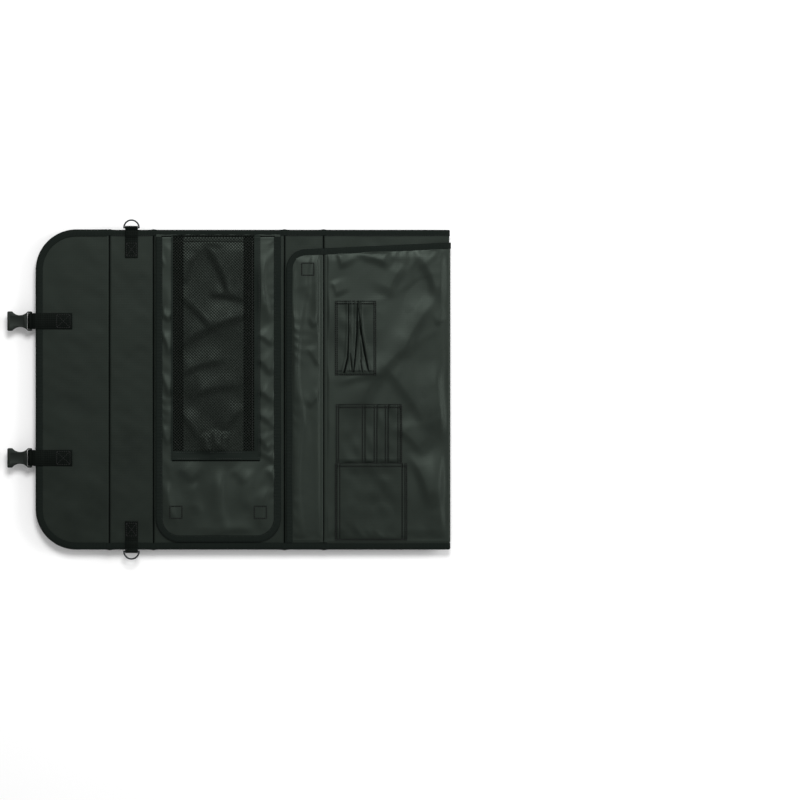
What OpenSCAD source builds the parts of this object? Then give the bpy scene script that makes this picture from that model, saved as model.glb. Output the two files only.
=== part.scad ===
// Knife case, laid open flat. Five stiffened panels fold round a box of knives:
// flap, top, back, bottom gusset and front. Two sewn leaves swing over the lining,
// a drop handle and two D-rings sit on the top panel, and two side-release buckles
// close the flap onto the front.
// X runs from the buckle sockets to the front's free edge, Y along the creases, and
// Z up out of the lining. The origin is on the floor below the middle of the case.

/* [Panels] */
// Length of the case along its creases
case_l = 500; // [440:5:560]
// Width of the flap, from its crease to its free edge
flap_w = 115; // [105:1:120]
// Width of the back panel
back_w = 205; // [200:1:215]
// Width of the bottom gusset, which is the depth inside the closed case
gusset_w = 61; // [56:1:70]
// Room between the closed flap's lining and the front's outer face
flap_gap = 4; // [3.6:0.2:6]
// How far the front's rolled edge stops short of the top panel's crease
front_gap = 6; // [6:0.5:9]
// Corner radius of the flap
flap_corner_r = 63; // [40:1:80]

/* [Layers] */
// Thickness of the coated outer fabric
outer_t = 0.8; // [0.6:0.1:1]
// Thickness of the stiffening board
board_t = 2.4; // [2:0.1:2.8]
// Thickness of the satin lining
lining_t = 0.8; // [0.6:0.1:1]
// How far a board stops inside its panel's edges
board_inset = 5; // [4:0.5:8]
// Width of the binding tape on each face
tape_w = 10; // [8:0.5:12]
// Thickness of the binding tape
tape_t = 0.8; // [0.6:0.1:1]

/* [Leaves] */
// Height of the leaves' underside over the panels' middle plane
leaf_z = 3.4; // [3.3:0.1:3.8]
// Thickness of a leaf
leaf_t = 1.6; // [1.2:0.1:1.8]
// How far the leaves' tape stands over their fabric
leaf_tape_t = 0.5; // [0.3:0.1:0.5]
// Corner radius at the knife leaf's free end
knife_leaf_r = 38; // [20:1:50]
// Corner radius of the tool leaf over the gusset
tool_leaf_r = 31; // [15:1:36]
// Distance of the tool leaf's low top corner from the case's end
tool_leaf_drop = 32; // [26:1:45]
// Rise of the tool leaf's top edge towards the front's free edge
tool_leaf_rise = 12; // [4:1:14]

/* [Pockets] */
// Width of the mesh pocket
mesh_w = 139; // [120:1:150]
// Length of the mesh pocket
mesh_l = 343; // [300:1:360]
// Thickness of the mesh
mesh_t = 0.8; // [0.6:0.1:1]
// Mesh openings across the pocket
mesh_columns = 9; // [5:1:10]
// Mesh openings along the pocket
mesh_rows = 26; // [12:1:28]
// Width of the strands between the mesh openings
strand_w = 3; // [2:0.5:5]
// Thickness of a sewn pocket
pocket_t = 0.9; // [0.6:0.1:1]
// Length of the blade sleeve under the knife leaf
sleeve_l = 190; // [120:5:220]
// Width of the elastic strap under the knife leaf
elastic_w = 38; // [25:1:50]
// Side of a hook-and-loop patch
patch_w = 20; // [16:1:25]

/* [Webbing] */
// Width of the webbing
web_w = 25; // [20:1:25]
// Thickness of one layer of webbing
web_t = 1.2; // [1:0.1:1.3]
// Distance between the two buckles
buckle_span = 214; // [180:2:240]
// Length of the tabs sewn on the flap
socket_tab_l = 57; // [45:1:70]
// Length of the D-ring tabs sewn on the top panel
dring_tab_l = 44; // [36:1:60]
// Diameter of the piping on the front
piping_d = 6; // [4:0.5:7]
// Distance of the piping from the front's lower edge
piping_in = 14; // [13:0.5:16]

/* [Buckles] */
// Width of the buckles
buckle_w = 30.4; // [30:0.2:32]
// Thickness of the buckles
buckle_t = 10.5; // [10:0.1:11]
// Length of the socket half
socket_l = 38.6; // [37:0.2:40]
// Width of the socket at its waist
waist_w = 18.4; // [17:0.2:19.4]
// Length of the plug's adjuster frame with its crosspiece
plug_frame_l = 23.5; // [23:0.1:25]
// Thickness of the plug's adjuster frame
plug_frame_t = 6.6; // [6:0.1:7]
// Length of the plug's spring arms
arm_l = 26; // [25:0.2:27]
// Thickness of a spring arm
arm_t = 2.6; // [2:0.1:2.8]
// How far an arm's head stands out past its beam
arm_head = 2.3; // [1.5:0.1:2.3]
// Space between the flap's edge and its sockets
socket_gap = 6; // [5.5:0.5:8]

/* [Handle] */
// Distance between the handle's two brackets
bracket_span = 160; // [140:1:180]
// Wire diameter of the handle's rings
ring_d = 2.2; // [2:0.1:2.6]
// Height of a handle ring between its two bars
ring_h = 13.3; // [13:0.1:16]
// Width of a handle ring between its two sides
ring_w = 17.8; // [17:0.1:20]
// Height of a ring's lower bar over the top panel
ring_pivot = 1.5; // [1.4:0.1:1.8]
// Angle by which the rings fold down from upright
ring_fold = 70; // [60:1:71]
// Rise of the handle's arch between its ends
arch_rise = 6; // [5:0.5:12]
// Thickness of the handle's sleeve
sleeve_d = 11.2; // [10:0.2:13]
// Width of the handle's sleeve
sleeve_w = 17; // [15:0.5:20]
// Length of the handle's sleeve
grip_l = 117; // [90:1:120]
// Thickness of the strap through the handle
core_t = 7.2; // [6:0.1:7.4]
// Width of the strap through the handle
core_w = 12.6; // [10:0.1:13]

/* [D-rings] */
// Wire diameter of a D-ring
dring_d = 2.5; // [2.2:0.1:2.8]
// Width of a D-ring between the middles of its wires
dring_w = 23.5; // [23.3:0.1:26]
// Width of the webbing in the D-ring tabs
dring_web_w = 20; // [18:0.5:20]

/* [Hidden] */
// Clearances
fit = 0.2;
crease_gap = 0.3;
pin_fit = 0.15;
mate_gap = 0.3;
end_lap = 1;
round_fn = 48;
arc_fn = 180;
// Layer heights over the panels' middle plane
panel_t = outer_t + board_t + lining_t;
half_t = panel_t / 2;
tape_z = half_t + tape_t;
leaf_top = leaf_z + leaf_t;
leaf_tape_top = leaf_top + leaf_tape_t;
// Panel widths and creases
top_w = gusset_w + panel_t + flap_gap;
lip_inner = leaf_z - 1;
lip_outer = lip_inner + leaf_t;
lip_reach = back_w - front_gap;
front_w = lip_reach - lip_outer + half_t;
layer_l = case_l - 2 * tape_t;
tape_y = case_l / 2 - tape_w;
plain_edge = half_t + crease_gap;
tape_edge = tape_z + crease_gap;
nose_tape_edge = half_t + crease_gap + fit;
// Buckle halves, where the closed flap brings them together
strap_z = half_t + fit;
tail_z = strap_z + web_t + fit;
buckle_drop = tail_z + web_t + fit + plug_frame_t / 2;
socket_x = flap_w + socket_gap;
socket_z = top_w - gusset_w - buckle_drop;
plug_x = back_w - socket_x - socket_l - mate_gap;
buckle_y = [-buckle_span / 2, buckle_span / 2];
// Handle, folded down
fold_y = ring_h * sin(ring_fold);
fold_z = ring_h * cos(ring_fold);
arch_r = (pow(bracket_span / 2, 2) + pow(arch_rise, 2)) / (2 * arch_rise);
loop_r = ring_d / 2 + 2.9;
bracket_t = 1;
bracket_w = 11;
rivet_out = 8.5;
// Heights and crease places in the room
plane_z = half_t + ring_pivot + fold_z + arch_rise + sleeve_d / 2;
total_l = socket_x + socket_l + top_w + back_w + gusset_w + lip_reach;
x_tf = -total_l / 2 + socket_x + socket_l;
x_tb = x_tf + top_w;
x_bg = x_tb + back_w;
x_gp = x_bg + gusset_w;
// Leaves
leaf_axis_y = tape_y - fit;
leaf_axis_z = leaf_z + leaf_t / 2;
leaf_tape_in = 3;
knife_leaf_x0 = tape_z + 0.7;
knife_leaf_x1 = back_w - leaf_tape_top - crease_gap;
knife_leaf_end = tape_y - 1.5;
tool_leaf_x0 = plain_edge + fit;
tool_edge_end = gusset_w - tool_leaf_x0;
tool_leaf_back = leaf_tape_top + crease_gap;
tool_slope = tool_leaf_rise / (gusset_w + front_w);
tool_angle = atan(tool_slope);
// Patches, as places on the back and on the gusset
knife_patch_x = [35, back_w - 38];
knife_patch_y = 58 - case_l / 2;
tool_patch_x = 36;
tool_patch_y = case_l / 2 - 62;
patch_t = 0.6;
// Sewn pockets of the tool leaf: left, right, lower and upper edge, then their seams
pocket_along = lip_reach / 199;
pocket_up = case_l / 500;
slot_pocket = [17.5 * pocket_along, 82 * pocket_along, 21 * pocket_up, 139 * pocket_up];
slot_seams = [for (s = [38, 49, 60, 71]) s * pocket_along];
card_pocket = [19 * pocket_along, 122.5 * pocket_along, -113 * pocket_up, -23 * pocket_up];
card_seams = [for (s = [60, 64, 79, 83, 96, 100]) s * pocket_along];
wide_pocket = [17.5 * pocket_along, 130.5 * pocket_along, 2 - leaf_axis_y, -115 * pocket_up];
wide_seams = [for (s = [22, 126]) s * pocket_along];
// Mesh pocket on the knife leaf
mesh_x = 28;
mesh_y1 = leaf_axis_y - 7;
mesh_y0 = mesh_y1 - mesh_l;
mesh_hem = 14;
mesh_z = leaf_top + fit;
// Sewn layers under the knife leaf
inner_t = leaf_z - half_t - 2 * fit;
inner_x = [16, back_w - 21];
sleeve_y = 90 - case_l / 2;
elastic_y = case_l / 2 - 120;
// Plug details
cross_l = 8.6;
end_bar = 2.6;
slot_a = 4.4;
mid_bar = 4.4;
slot_b = plug_frame_l - cross_l - end_bar - slot_a - mid_bar;
slot_half = web_w / 2 + 0.4;
strap_turn = 0.3;
prong_t = 5.7;
guide_w = 7;
guide_l = 22;
arm_y = 9;
arm_x = 1.6;
// Socket details
cavity_h = prong_t + 0.6;
cavity_half = arm_y + arm_t / 2 + 0.3;
window = [11.5, 26.5];
socket_bar_r = 1.8;
socket_bar_x = 2.2;
socket_slot_end = 8;
waist_x = 19;
waist_r = 16;
// Bend of the webbing between the flap and its sockets
web_bend_x = flap_w + 1.4;
web_bend_z = tape_z + web_t;
dring_y = case_l / 2 + dring_d / 2 + web_t + 0.7;
dring_z = tape_z + web_t;

// Places: each panel is drawn from its crease, its middle plane at height 0
module in_flap() {
    translate([x_tf, 0, plane_z]) mirror([1, 0, 0]) children();
}

module in_top() {
    translate([x_tf, 0, plane_z]) children();
}

module in_back() {
    translate([x_tb, 0, plane_z]) children();
}

module in_gusset() {
    translate([x_bg, 0, plane_z]) children();
}

module in_front() {
    translate([x_gp, 0, plane_z]) children();
}

// Profiles drawn in X and Z, run along Y
module along_y(length) {
    rotate([90, 0, 0]) translate([0, 0, -length / 2]) linear_extrude(length) children();
}

// Profiles drawn in Y and Z, run along X
module along_x(length) {
    rotate([90, 0, 90]) linear_extrude(length) children();
}

// A slab between two heights
module layer(z0, z1) {
    translate([0, 0, z0]) linear_extrude(z1 - z0) children();
}

module span(x0, x1, half_y) {
    translate([x0, -half_y]) square([x1 - x0, 2 * half_y]);
}

module round_rect(x0, x1, half_y, r) {
    span(x0 + r, x1 - r, half_y);
    span(x0, x1, half_y - r);
    for (x = [x0 + r, x1 - r], y = [-1, 1])
        translate([x, y * (half_y - r)]) circle(r = r, $fn = round_fn);
}

// The rolled edge of a panel, half a disc on its crease
module rolled_edge(x, side) {
    intersection() {
        translate([x, 0]) circle(r = half_t, $fn = round_fn);
        translate([side > 0 ? x : x - half_t, -half_t]) square([half_t, panel_t]);
    }
}

// The outer fabric, a tray that the board lies in
module outer_tray(x0, x1, rolled = []) {
    difference() {
        along_y(layer_l) {
            translate([x0, -half_t]) square([x1 - x0, outer_t + board_t]);
            for (side = rolled)
                rolled_edge(side > 0 ? x1 : x0, side);
        }
        layer(outer_t - half_t, half_t)
            span(x0 + board_inset, x1 - board_inset, layer_l / 2 - board_inset);
    }
}

module board(x0, x1) {
    layer(outer_t - half_t, half_t - lining_t)
        span(x0 + board_inset + fit, x1 - board_inset - fit, layer_l / 2 - board_inset - fit);
}

module lining(x0, x1) {
    layer(half_t - lining_t, half_t) span(x0, x1, layer_l / 2);
}

// Binding tape folded over both ends of a panel
module binding_section() {
    difference() {
        intersection() {
            round_rect(tape_y - tape_w, case_l / 2, tape_z, tape_t * 1.5);
            translate([tape_y, -tape_z]) square([tape_w, 2 * tape_z]);
        }
        translate([tape_y - 1, -half_t]) square([tape_w + 1 - tape_t, panel_t]);
    }
}

module end_binding(x0, x1) {
    for (side = [0, 1])
        mirror([0, side, 0]) translate([x0, 0, 0]) along_x(x1 - x0) binding_section();
}

// Outline of the flap, drawn in by an inset
module flap_shape(inset, x0) {
    half = case_l / 2;
    intersection() {
        union() {
            span(-1, flap_w - flap_corner_r, half - inset);
            span(-1, flap_w - inset, half - flap_corner_r);
            for (y = [-1, 1])
                translate([flap_w - flap_corner_r, y * (half - flap_corner_r)])
                    circle(r = flap_corner_r - inset, $fn = 96);
        }
        span(x0, flap_w + 1, half + 1);
    }
}

module flap_outer() {
    color("#252b2a") in_flap() difference() {
        layer(-half_t, half_t - lining_t) flap_shape(tape_t, plain_edge);
        layer(outer_t - half_t, half_t)
            flap_shape(tape_t + board_inset, plain_edge + board_inset);
    }
}

module flap_board() {
    color("#6b5a44") in_flap() layer(outer_t - half_t, half_t - lining_t)
        flap_shape(tape_t + board_inset + fit, plain_edge + board_inset + fit);
}

module flap_lining() {
    color("#2f3633") in_flap() layer(half_t - lining_t, half_t) flap_shape(tape_t, plain_edge);
}

module flap_binding() {
    color("#171b1a") in_flap() difference() {
        layer(-tape_z, tape_z) difference() {
            flap_shape(0, tape_edge);
            flap_shape(tape_w, 0);
        }
        layer(-half_t, half_t) flap_shape(tape_t, 0);
    }
}

// A doubled webbing tab that steps up over the binding at a panel's edge
module web_tab_profile(x0, step_x, x1) {
    translate([x0, half_t]) square([step_x - x0, 2 * web_t]);
    translate([step_x - 1, tape_z]) square([x1 - step_x + 1, 2 * web_t]);
}

module socket_tabs() {
    color("#101313") in_flap() for (y = buckle_y)
        translate([0, y, 0]) along_y(web_w)
            web_tab_profile(flap_w - socket_tab_l, flap_w - tape_w - fit, flap_w + 0.8);
}

// Webbing loop from the flap's edge round the socket's bar
module socket_web() {
    bar_x = socket_x + socket_bar_x;
    loop_in = socket_bar_r + fit;
    loop_out = loop_in + web_t;
    difference() {
        union() {
            along_y(web_w) translate([bar_x, socket_z]) circle(r = loop_out, $fn = round_fn);
            along_y(web_w) polygon([
                [web_bend_x + 0.8, web_bend_z - web_t], [web_bend_x, web_bend_z - 0.2],
                [web_bend_x, web_bend_z + web_t],
                [bar_x + 0.2, socket_z + loop_out - 0.1], [bar_x - loop_in - 0.3, socket_z - 0.4]
            ]);
        }
        along_y(2 * web_w) translate([bar_x, socket_z]) circle(r = loop_in, $fn = round_fn);
    }
}

module socket_web_left() {
    color("#101313") in_flap() translate([0, buckle_y[0], 0]) socket_web();
}

module socket_web_right() {
    color("#101313") in_flap() translate([0, buckle_y[1], 0]) socket_web();
}

// Hourglass outline of the socket, from its webbing bar to its mouth
module socket_outline() {
    difference() {
        round_rect(0, socket_l, buckle_w / 2, 2);
        for (y = [-1, 1])
            translate([waist_x, y * (waist_w / 2 + waist_r)]) circle(r = waist_r, $fn = 96);
    }
}

// Side view of the socket, full at its mouth and thinner at its bar
module socket_side() {
    polygon([
        [0, -buckle_t / 3], [0, buckle_t / 3], [6, buckle_t / 2], [socket_l, buckle_t / 2],
        [socket_l, -buckle_t / 2], [6, -buckle_t / 2]
    ]);
}

module socket() {
    difference() {
        union() {
            difference() {
                intersection() {
                    layer(-buckle_t, buckle_t) socket_outline();
                    along_y(buckle_w) socket_side();
                }
                // Webbing slot, with the bar put back across it
                layer(-buckle_t, buckle_t) span(-1, socket_slot_end, slot_half);
            }
            translate([socket_bar_x, buckle_w / 2 - 1, 0]) rotate([90, 0, 0])
                cylinder(r = socket_bar_r, h = buckle_w - 2, $fn = round_fn);
        }
        // Cavity for the prongs, its flared mouth and the side windows
        layer(-cavity_h / 2, cavity_h / 2) {
            span(socket_slot_end + 2, socket_l + 1, cavity_half);
            span(window[0], window[1], buckle_w);
        }
        along_y(2 * cavity_half) polygon([
            [socket_l - 2, -cavity_h / 2], [socket_l - 2, cavity_h / 2],
            [socket_l + 0.1, cavity_h / 2 + 1], [socket_l + 0.1, -cavity_h / 2 - 1]
        ]);
        // Shallow thumb panels on both faces
        for (side = [-1, 1])
            layer(side * buckle_t / 2 - 0.4, side * buckle_t / 2 + 0.4)
                round_rect(13, socket_l - 4, waist_w / 2 - 2.5, 2);
    }
}

module socket_at(y) {
    in_flap() translate([socket_x, y, socket_z]) socket();
}

module socket_left() {
    color("#15181a") socket_at(buckle_y[0]);
}

module socket_right() {
    color("#15181a") socket_at(buckle_y[1]);
}

// Top panel, with the handle and the D-rings
module top_outer() {
    color("#252b2a") in_top() difference() {
        outer_tray(0, top_w - plain_edge, [-1]);
        rivet_holes(-half_t - 1, 0);
    }
}

module top_board() {
    color("#6b5a44") in_top() difference() {
        board(0, top_w - plain_edge);
        rivet_holes(-half_t, half_t);
        rivet_places() translate([0, 0, half_t - lining_t - 0.6]) cylinder(r = 3.2, h = 2, $fn = round_fn);
    }
}

module top_lining() {
    color("#2f3633") in_top() lining(0, top_w - plain_edge);
}

module top_binding() {
    color("#171b1a") in_top() end_binding(nose_tape_edge, top_w - tape_edge);
}

module rivet_places() {
    for (side = [-1, 1], out = [-1, 1])
        translate([top_w / 2, side * bracket_span / 2 + out * rivet_out, 0]) children();
}

module rivet_holes(z0, z1) {
    rivet_places() translate([0, 0, z0]) cylinder(r = 1.5 + 0.05, h = z1 - z0, $fn = round_fn);
}

// Pressed saddle over a ring's lower bar, with a flat foot each way
module bracket_profile() {
    bore_r = ring_d / 2 + pin_fit;
    foot = 12;
    bar_z = -half_t - ring_pivot;
    difference() {
        union() {
            translate([-foot, -half_t - bracket_t]) square([2 * foot, bracket_t]);
            translate([0, bar_z]) circle(r = bore_r + bracket_t, $fn = round_fn);
            translate([-bore_r - bracket_t, bar_z]) square([2 * (bore_r + bracket_t), ring_pivot]);
        }
        translate([0, bar_z]) circle(r = bore_r, $fn = round_fn);
        translate([-bore_r, bar_z]) square([2 * bore_r, ring_pivot + 1]);
        translate([-2 * foot, -half_t]) square([4 * foot, 2 * half_t]);
    }
}

module handle_brackets() {
    color("#3a3d3e") in_top() difference() {
        for (side = [-1, 1])
            translate([top_w / 2 - bracket_w / 2, side * bracket_span / 2, 0])
                along_x(bracket_w) bracket_profile();
        rivet_holes(-half_t - 4, 0);
    }
}

module handle_rivets() {
    color("#55595b") in_top() rivet_places() {
        translate([0, 0, -half_t - bracket_t])
            cylinder(r = 1.5, h = bracket_t + outer_t + board_t, $fn = round_fn);
        intersection() {
            translate([0, 0, -half_t - bracket_t + 2.2]) sphere(r = 3.4, $fn = round_fn);
            translate([-4, -4, -half_t - bracket_t - 4]) cube([8, 8, 4]);
        }
        translate([0, 0, half_t - lining_t - 0.6]) cylinder(r = 3, h = 0.6, $fn = round_fn);
    }
}

// Wire ring hanging from its lower bar, closed by four bent corners
module wire_ring() {
    corner_r = 2.6;
    r = ring_d / 2;
    half_w = ring_w / 2;
    for (z = [0, -ring_h])
        translate([-half_w + corner_r, 0, z]) rotate([0, 90, 0])
            cylinder(r = r, h = ring_w - 2 * corner_r, $fn = 32);
    for (x = [-half_w, half_w])
        translate([x, 0, -ring_h + corner_r]) cylinder(r = r, h = ring_h - 2 * corner_r, $fn = 32);
    for (sx = [-1, 1], sz = [0, 1])
        translate([sx * (half_w - corner_r), 0, sz > 0 ? -corner_r : -ring_h + corner_r])
            intersection() {
                rotate([90, 0, 0]) rotate_extrude($fn = round_fn) translate([corner_r, 0])
                    circle(r = r, $fn = 32);
                translate([sx > 0 ? 0 : -9, -9, sz > 0 ? 0 : -9]) cube([9, 18, 9]);
            }
}

module ring_at(y) {
    in_top() translate([top_w / 2, y, -half_t - ring_pivot]) rotate([ring_fold, 0, 0]) wire_ring();
}

module ring_left() {
    color("#2a2c2e") ring_at(-bracket_span / 2);
}

module ring_right() {
    color("#2a2c2e") ring_at(bracket_span / 2);
}

// The handle is drawn between its ring pivots, arching away from the panel
module in_handle() {
    in_top() translate([top_w / 2, fold_y, -half_t - ring_pivot - fold_z])
        mirror([0, 0, 1]) children();
}

module arch_band(thickness, half_y) {
    intersection() {
        translate([0, arch_rise - arch_r]) difference() {
            circle(r = arch_r + thickness / 2, $fn = arc_fn * 2);
            circle(r = arch_r - thickness / 2, $fn = arc_fn * 2);
        }
        translate([-half_y, -2 * core_t]) square([2 * half_y, 4 * core_t]);
    }
}

// The strap through the sleeve, with an eye round each ring's upper bar
module core_profile(grow = 0) {
    slope = asin(bracket_span / 2 / arch_r);
    eye_l = 9;
    eye_r = ring_d / 2 + 0.35;
    difference() {
        union() {
            arch_band(core_t + 2 * grow, bracket_span / 2);
            for (side = [-1, 1])
                translate([side * bracket_span / 2, 0]) circle(r = loop_r, $fn = round_fn);
        }
        if (grow == 0)
            for (side = [-1, 1])
                translate([side * bracket_span / 2, 0]) rotate(side > 0 ? 180 - slope : slope) {
                    circle(r = eye_r, $fn = 32);
                    translate([0, -eye_r]) square([eye_l, 2 * eye_r]);
                    translate([eye_l, 0]) circle(r = eye_r, $fn = 32);
                }
    }
}

module handle_core() {
    color("#1b1e1f") in_handle() translate([-core_w / 2, 0, 0]) along_x(core_w) core_profile();
}

module handle_sleeve() {
    sweep = asin(grip_l / 2 / arch_r);
    flat = (sleeve_w - sleeve_d) / 2;
    color("#4a5052") in_handle() difference() {
        translate([0, 0, arch_rise - arch_r]) rotate([0, -90, 0]) rotate([0, 0, -sweep])
            rotate_extrude(angle = 2 * sweep, $fn = arc_fn * 2) {
                for (y = [-flat, flat])
                    translate([arch_r, y]) circle(r = sleeve_d / 2, $fn = round_fn);
                translate([arch_r - sleeve_d / 2, -flat]) square([sleeve_d, 2 * flat]);
            }
        translate([-core_w / 2 - 0.1, 0, 0]) along_x(core_w + 0.2) arch_band(core_t + 0.2, grip_l);
    }
}

// D-rings and their tabs
module dring_tab_profile() {
    difference() {
        union() {
            web_tab_profile(case_l / 2 - dring_tab_l, tape_y - fit, dring_y);
            translate([dring_y, dring_z]) circle(r = dring_d / 2 + fit + web_t, $fn = round_fn);
        }
        translate([dring_y, dring_z]) circle(r = dring_d / 2 + fit, $fn = round_fn);
    }
}

module dring_tabs() {
    color("#101313") in_top() for (side = [0, 1])
        mirror([0, side, 0]) translate([top_w / 2 - dring_web_w / 2, 0, 0]) along_x(dring_web_w)
            dring_tab_profile();
}

module dring() {
    r = dring_d / 2;
    half_w = dring_w / 2;
    translate([-half_w, 0, 0]) rotate([0, 90, 0]) cylinder(r = r, h = dring_w, $fn = 32);
    for (x = [-half_w, half_w])
        translate([x, 0, 0]) sphere(r = r, $fn = 32);
    intersection() {
        rotate_extrude($fn = 96) translate([half_w, 0]) circle(r = r, $fn = 32);
        translate([-dring_w, 0, -r - 1]) cube([2 * dring_w, dring_w, 2 * r + 2]);
    }
}

module dring_at(side) {
    in_top() translate([top_w / 2, side * dring_y, dring_z]) mirror([0, side > 0 ? 0 : 1, 0]) dring();
}

module dring_left() {
    color("#26282a") dring_at(-1);
}

module dring_right() {
    color("#26282a") dring_at(1);
}

// Back panel and what is sewn on its lining
module back_outer() {
    color("#252b2a") in_back() outer_tray(0, back_w, [-1, 1]);
}

module back_board() {
    color("#6b5a44") in_back() board(0, back_w);
}

module back_lining() {
    color("#2f3633") in_back() lining(0, back_w);
}

module back_binding() {
    color("#171b1a") in_back() end_binding(nose_tape_edge, back_w - nose_tape_edge);
}

module blade_sleeve() {
    slots = 5;
    pitch = (inner_x[1] - inner_x[0]) / slots;
    color("#262c2a") in_back() difference() {
        translate([0, sleeve_y + sleeve_l / 2, 0]) layer(half_t, half_t + inner_t)
            span(inner_x[0], inner_x[1], sleeve_l / 2);
        for (i = [1 : slots - 1])
            translate([inner_x[0] + i * pitch - 0.4, sleeve_y - 1, half_t + inner_t / 2])
                cube([0.8, sleeve_l + 2, inner_t]);
    }
}

module elastic_strap() {
    loops = 6;
    pitch = (inner_x[1] - inner_x[0]) / loops;
    color("#161a19") in_back() translate([0, elastic_y, 0]) difference() {
        layer(half_t, half_t + inner_t) span(inner_x[0], inner_x[1], elastic_w / 2);
        for (i = [1 : loops - 1])
            translate([inner_x[0] + i * pitch - 0.5, -elastic_w, half_t + inner_t / 2])
                cube([1, 2 * elastic_w, inner_t]);
    }
}

module patch(z0, z1) {
    layer(z0, z1) round_rect(-patch_w / 2, patch_w / 2, patch_w / 2, 1.5);
}

module back_loop_patches() {
    color("#1c2120") in_back() for (x = knife_patch_x)
        translate([x, knife_patch_y, 0]) patch(half_t, half_t + patch_t);
}

// Knife leaf, sewn in at one end of the back and rounded at the other
module knife_leaf_shape(inset) {
    x0 = knife_leaf_x0 + inset;
    x1 = knife_leaf_x1 - inset;
    end = -knife_leaf_end + inset;
    r = knife_leaf_r - inset;
    translate([x0, -knife_leaf_end + knife_leaf_r])
        square([x1 - x0, leaf_axis_y + knife_leaf_end - knife_leaf_r]);
    translate([x0 + r, end]) square([x1 - x0 - 2 * r, knife_leaf_r]);
    for (x = [x0 + r, x1 - r])
        translate([x, end + r]) circle(r = r, $fn = 96);
}

module knife_leaf() {
    color("#2c3331") in_back() layer(leaf_z, leaf_top) knife_leaf_shape(leaf_tape_t);
}

module knife_leaf_binding() {
    color("#171b1a") in_back() difference() {
        layer(leaf_z - leaf_tape_t, leaf_tape_top) difference() {
            knife_leaf_shape(0);
            knife_leaf_shape(tape_w);
            translate([0, leaf_axis_y - leaf_tape_in]) square([back_w, tape_w]);
        }
        layer(leaf_z, leaf_top) knife_leaf_shape(leaf_tape_t);
    }
}

module knife_hook_patches() {
    color("#1c2120") in_back() for (x = knife_patch_x)
        translate([x, knife_patch_y, 0]) patch(leaf_z - patch_t, leaf_z);
}

// Mesh pocket: hexagonal openings in offset rows, closed by tape
module mesh_pocket() {
    w = mesh_w - mesh_hem;
    l = mesh_l - mesh_hem;
    pitch_x = w / mesh_columns;
    pitch_y = l / mesh_rows;
    hole_r = (min(pitch_x, pitch_y) - strand_w) / 2 / cos(30);
    color("#0d0f0f") in_back() translate([mesh_x, mesh_y0 + mesh_hem, 0]) layer(mesh_z, mesh_z + mesh_t)
        difference() {
            square([w, l]);
            for (i = [0 : mesh_columns - 1], j = [0 : mesh_rows - 1])
                if (i < mesh_columns - 1 || j % 2 == 0)
                    translate([(i + (j % 2 == 0 ? 0.5 : 1)) * pitch_x, (j + 0.5) * pitch_y])
                        circle(r = hole_r, $fn = 6);
        }
}

module mesh_tape() {
    w = mesh_w - mesh_hem;
    color("#171b1a") in_back() layer(mesh_z, leaf_tape_top + mesh_t) {
        translate([mesh_x, mesh_y0]) square([mesh_w, mesh_hem]);
        translate([mesh_x + w, mesh_y0 + mesh_hem]) square([mesh_hem, mesh_l - mesh_hem]);
    }
}

// Bottom gusset
module gusset_outer() {
    color("#252b2a") in_gusset() outer_tray(plain_edge, gusset_w, [1]);
}

module gusset_board() {
    color("#6b5a44") in_gusset() board(plain_edge, gusset_w);
}

module gusset_lining() {
    color("#2f3633") in_gusset() lining(plain_edge, gusset_w);
}

module gusset_binding() {
    color("#171b1a") in_gusset() end_binding(tape_edge, gusset_w - nose_tape_edge);
}

module gusset_straps() {
    color("#101313") in_gusset() for (y = buckle_y)
        translate([0, y, 0]) layer(-half_t - web_t, -half_t) span(8, gusset_w - crease_gap, web_w / 2);
}

module gusset_loop_patch() {
    color("#1c2120") in_gusset() translate([tool_patch_x, tool_patch_y, 0])
        patch(half_t, half_t + patch_t);
}

// Tool leaf: one outline over the gusset and the front, drawn from the gusset's crease
function tool_top(x) = case_l / 2 - tool_leaf_drop + tool_slope * (x - tool_leaf_x0);

module tool_leaf_shape(inset) {
    x0 = tool_leaf_x0;
    x1 = gusset_w + front_w + 10;
    y0 = -leaf_axis_y;
    drop = inset / cos(tool_angle);
    centre_x = x0 + tool_leaf_r;
    centre_y = tool_top(centre_x) - tool_leaf_r / cos(tool_angle);
    difference() {
        polygon([
            [x0 + inset, y0], [x1, y0], [x1, tool_top(x1) - drop],
            [x0 + inset, tool_top(x0 + inset) - drop]
        ]);
        difference() {
            translate([x0 - 1, centre_y])
                square([tool_leaf_r + 1 - tool_leaf_r * sin(tool_angle), 2 * tool_leaf_r]);
            translate([centre_x, centre_y]) circle(r = tool_leaf_r - inset, $fn = 96);
        }
    }
}

module tool_leaf_edge() {
    color("#2c3331") in_gusset() layer(leaf_z, leaf_top) intersection() {
        tool_leaf_shape(leaf_tape_t);
        span(0, tool_edge_end, case_l);
    }
}

module tool_edge_binding() {
    color("#171b1a") in_gusset() difference() {
        layer(leaf_z - leaf_tape_t, leaf_tape_top) intersection() {
            difference() {
                tool_leaf_shape(0);
                tool_leaf_shape(tape_w);
            }
            translate([0, -leaf_axis_y + leaf_tape_in]) square([tool_edge_end, case_l]);
        }
        layer(leaf_z, leaf_top) tool_leaf_shape(leaf_tape_t);
    }
}

module tool_hook_patch() {
    color("#1c2120") in_gusset() translate([tool_patch_x, tool_patch_y, 0])
        patch(leaf_z - patch_t, leaf_z);
}

// Front panel
module front_outer() {
    color("#252b2a") in_front() outer_tray(plain_edge, front_w - half_t, [1]);
}

module front_board() {
    color("#6b5a44") in_front() board(plain_edge, front_w - half_t);
}

module front_lining() {
    color("#2f3633") in_front() lining(plain_edge, front_w - half_t);
}

module front_binding() {
    color("#171b1a") in_front() end_binding(tape_edge, front_w - half_t);
}

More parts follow.
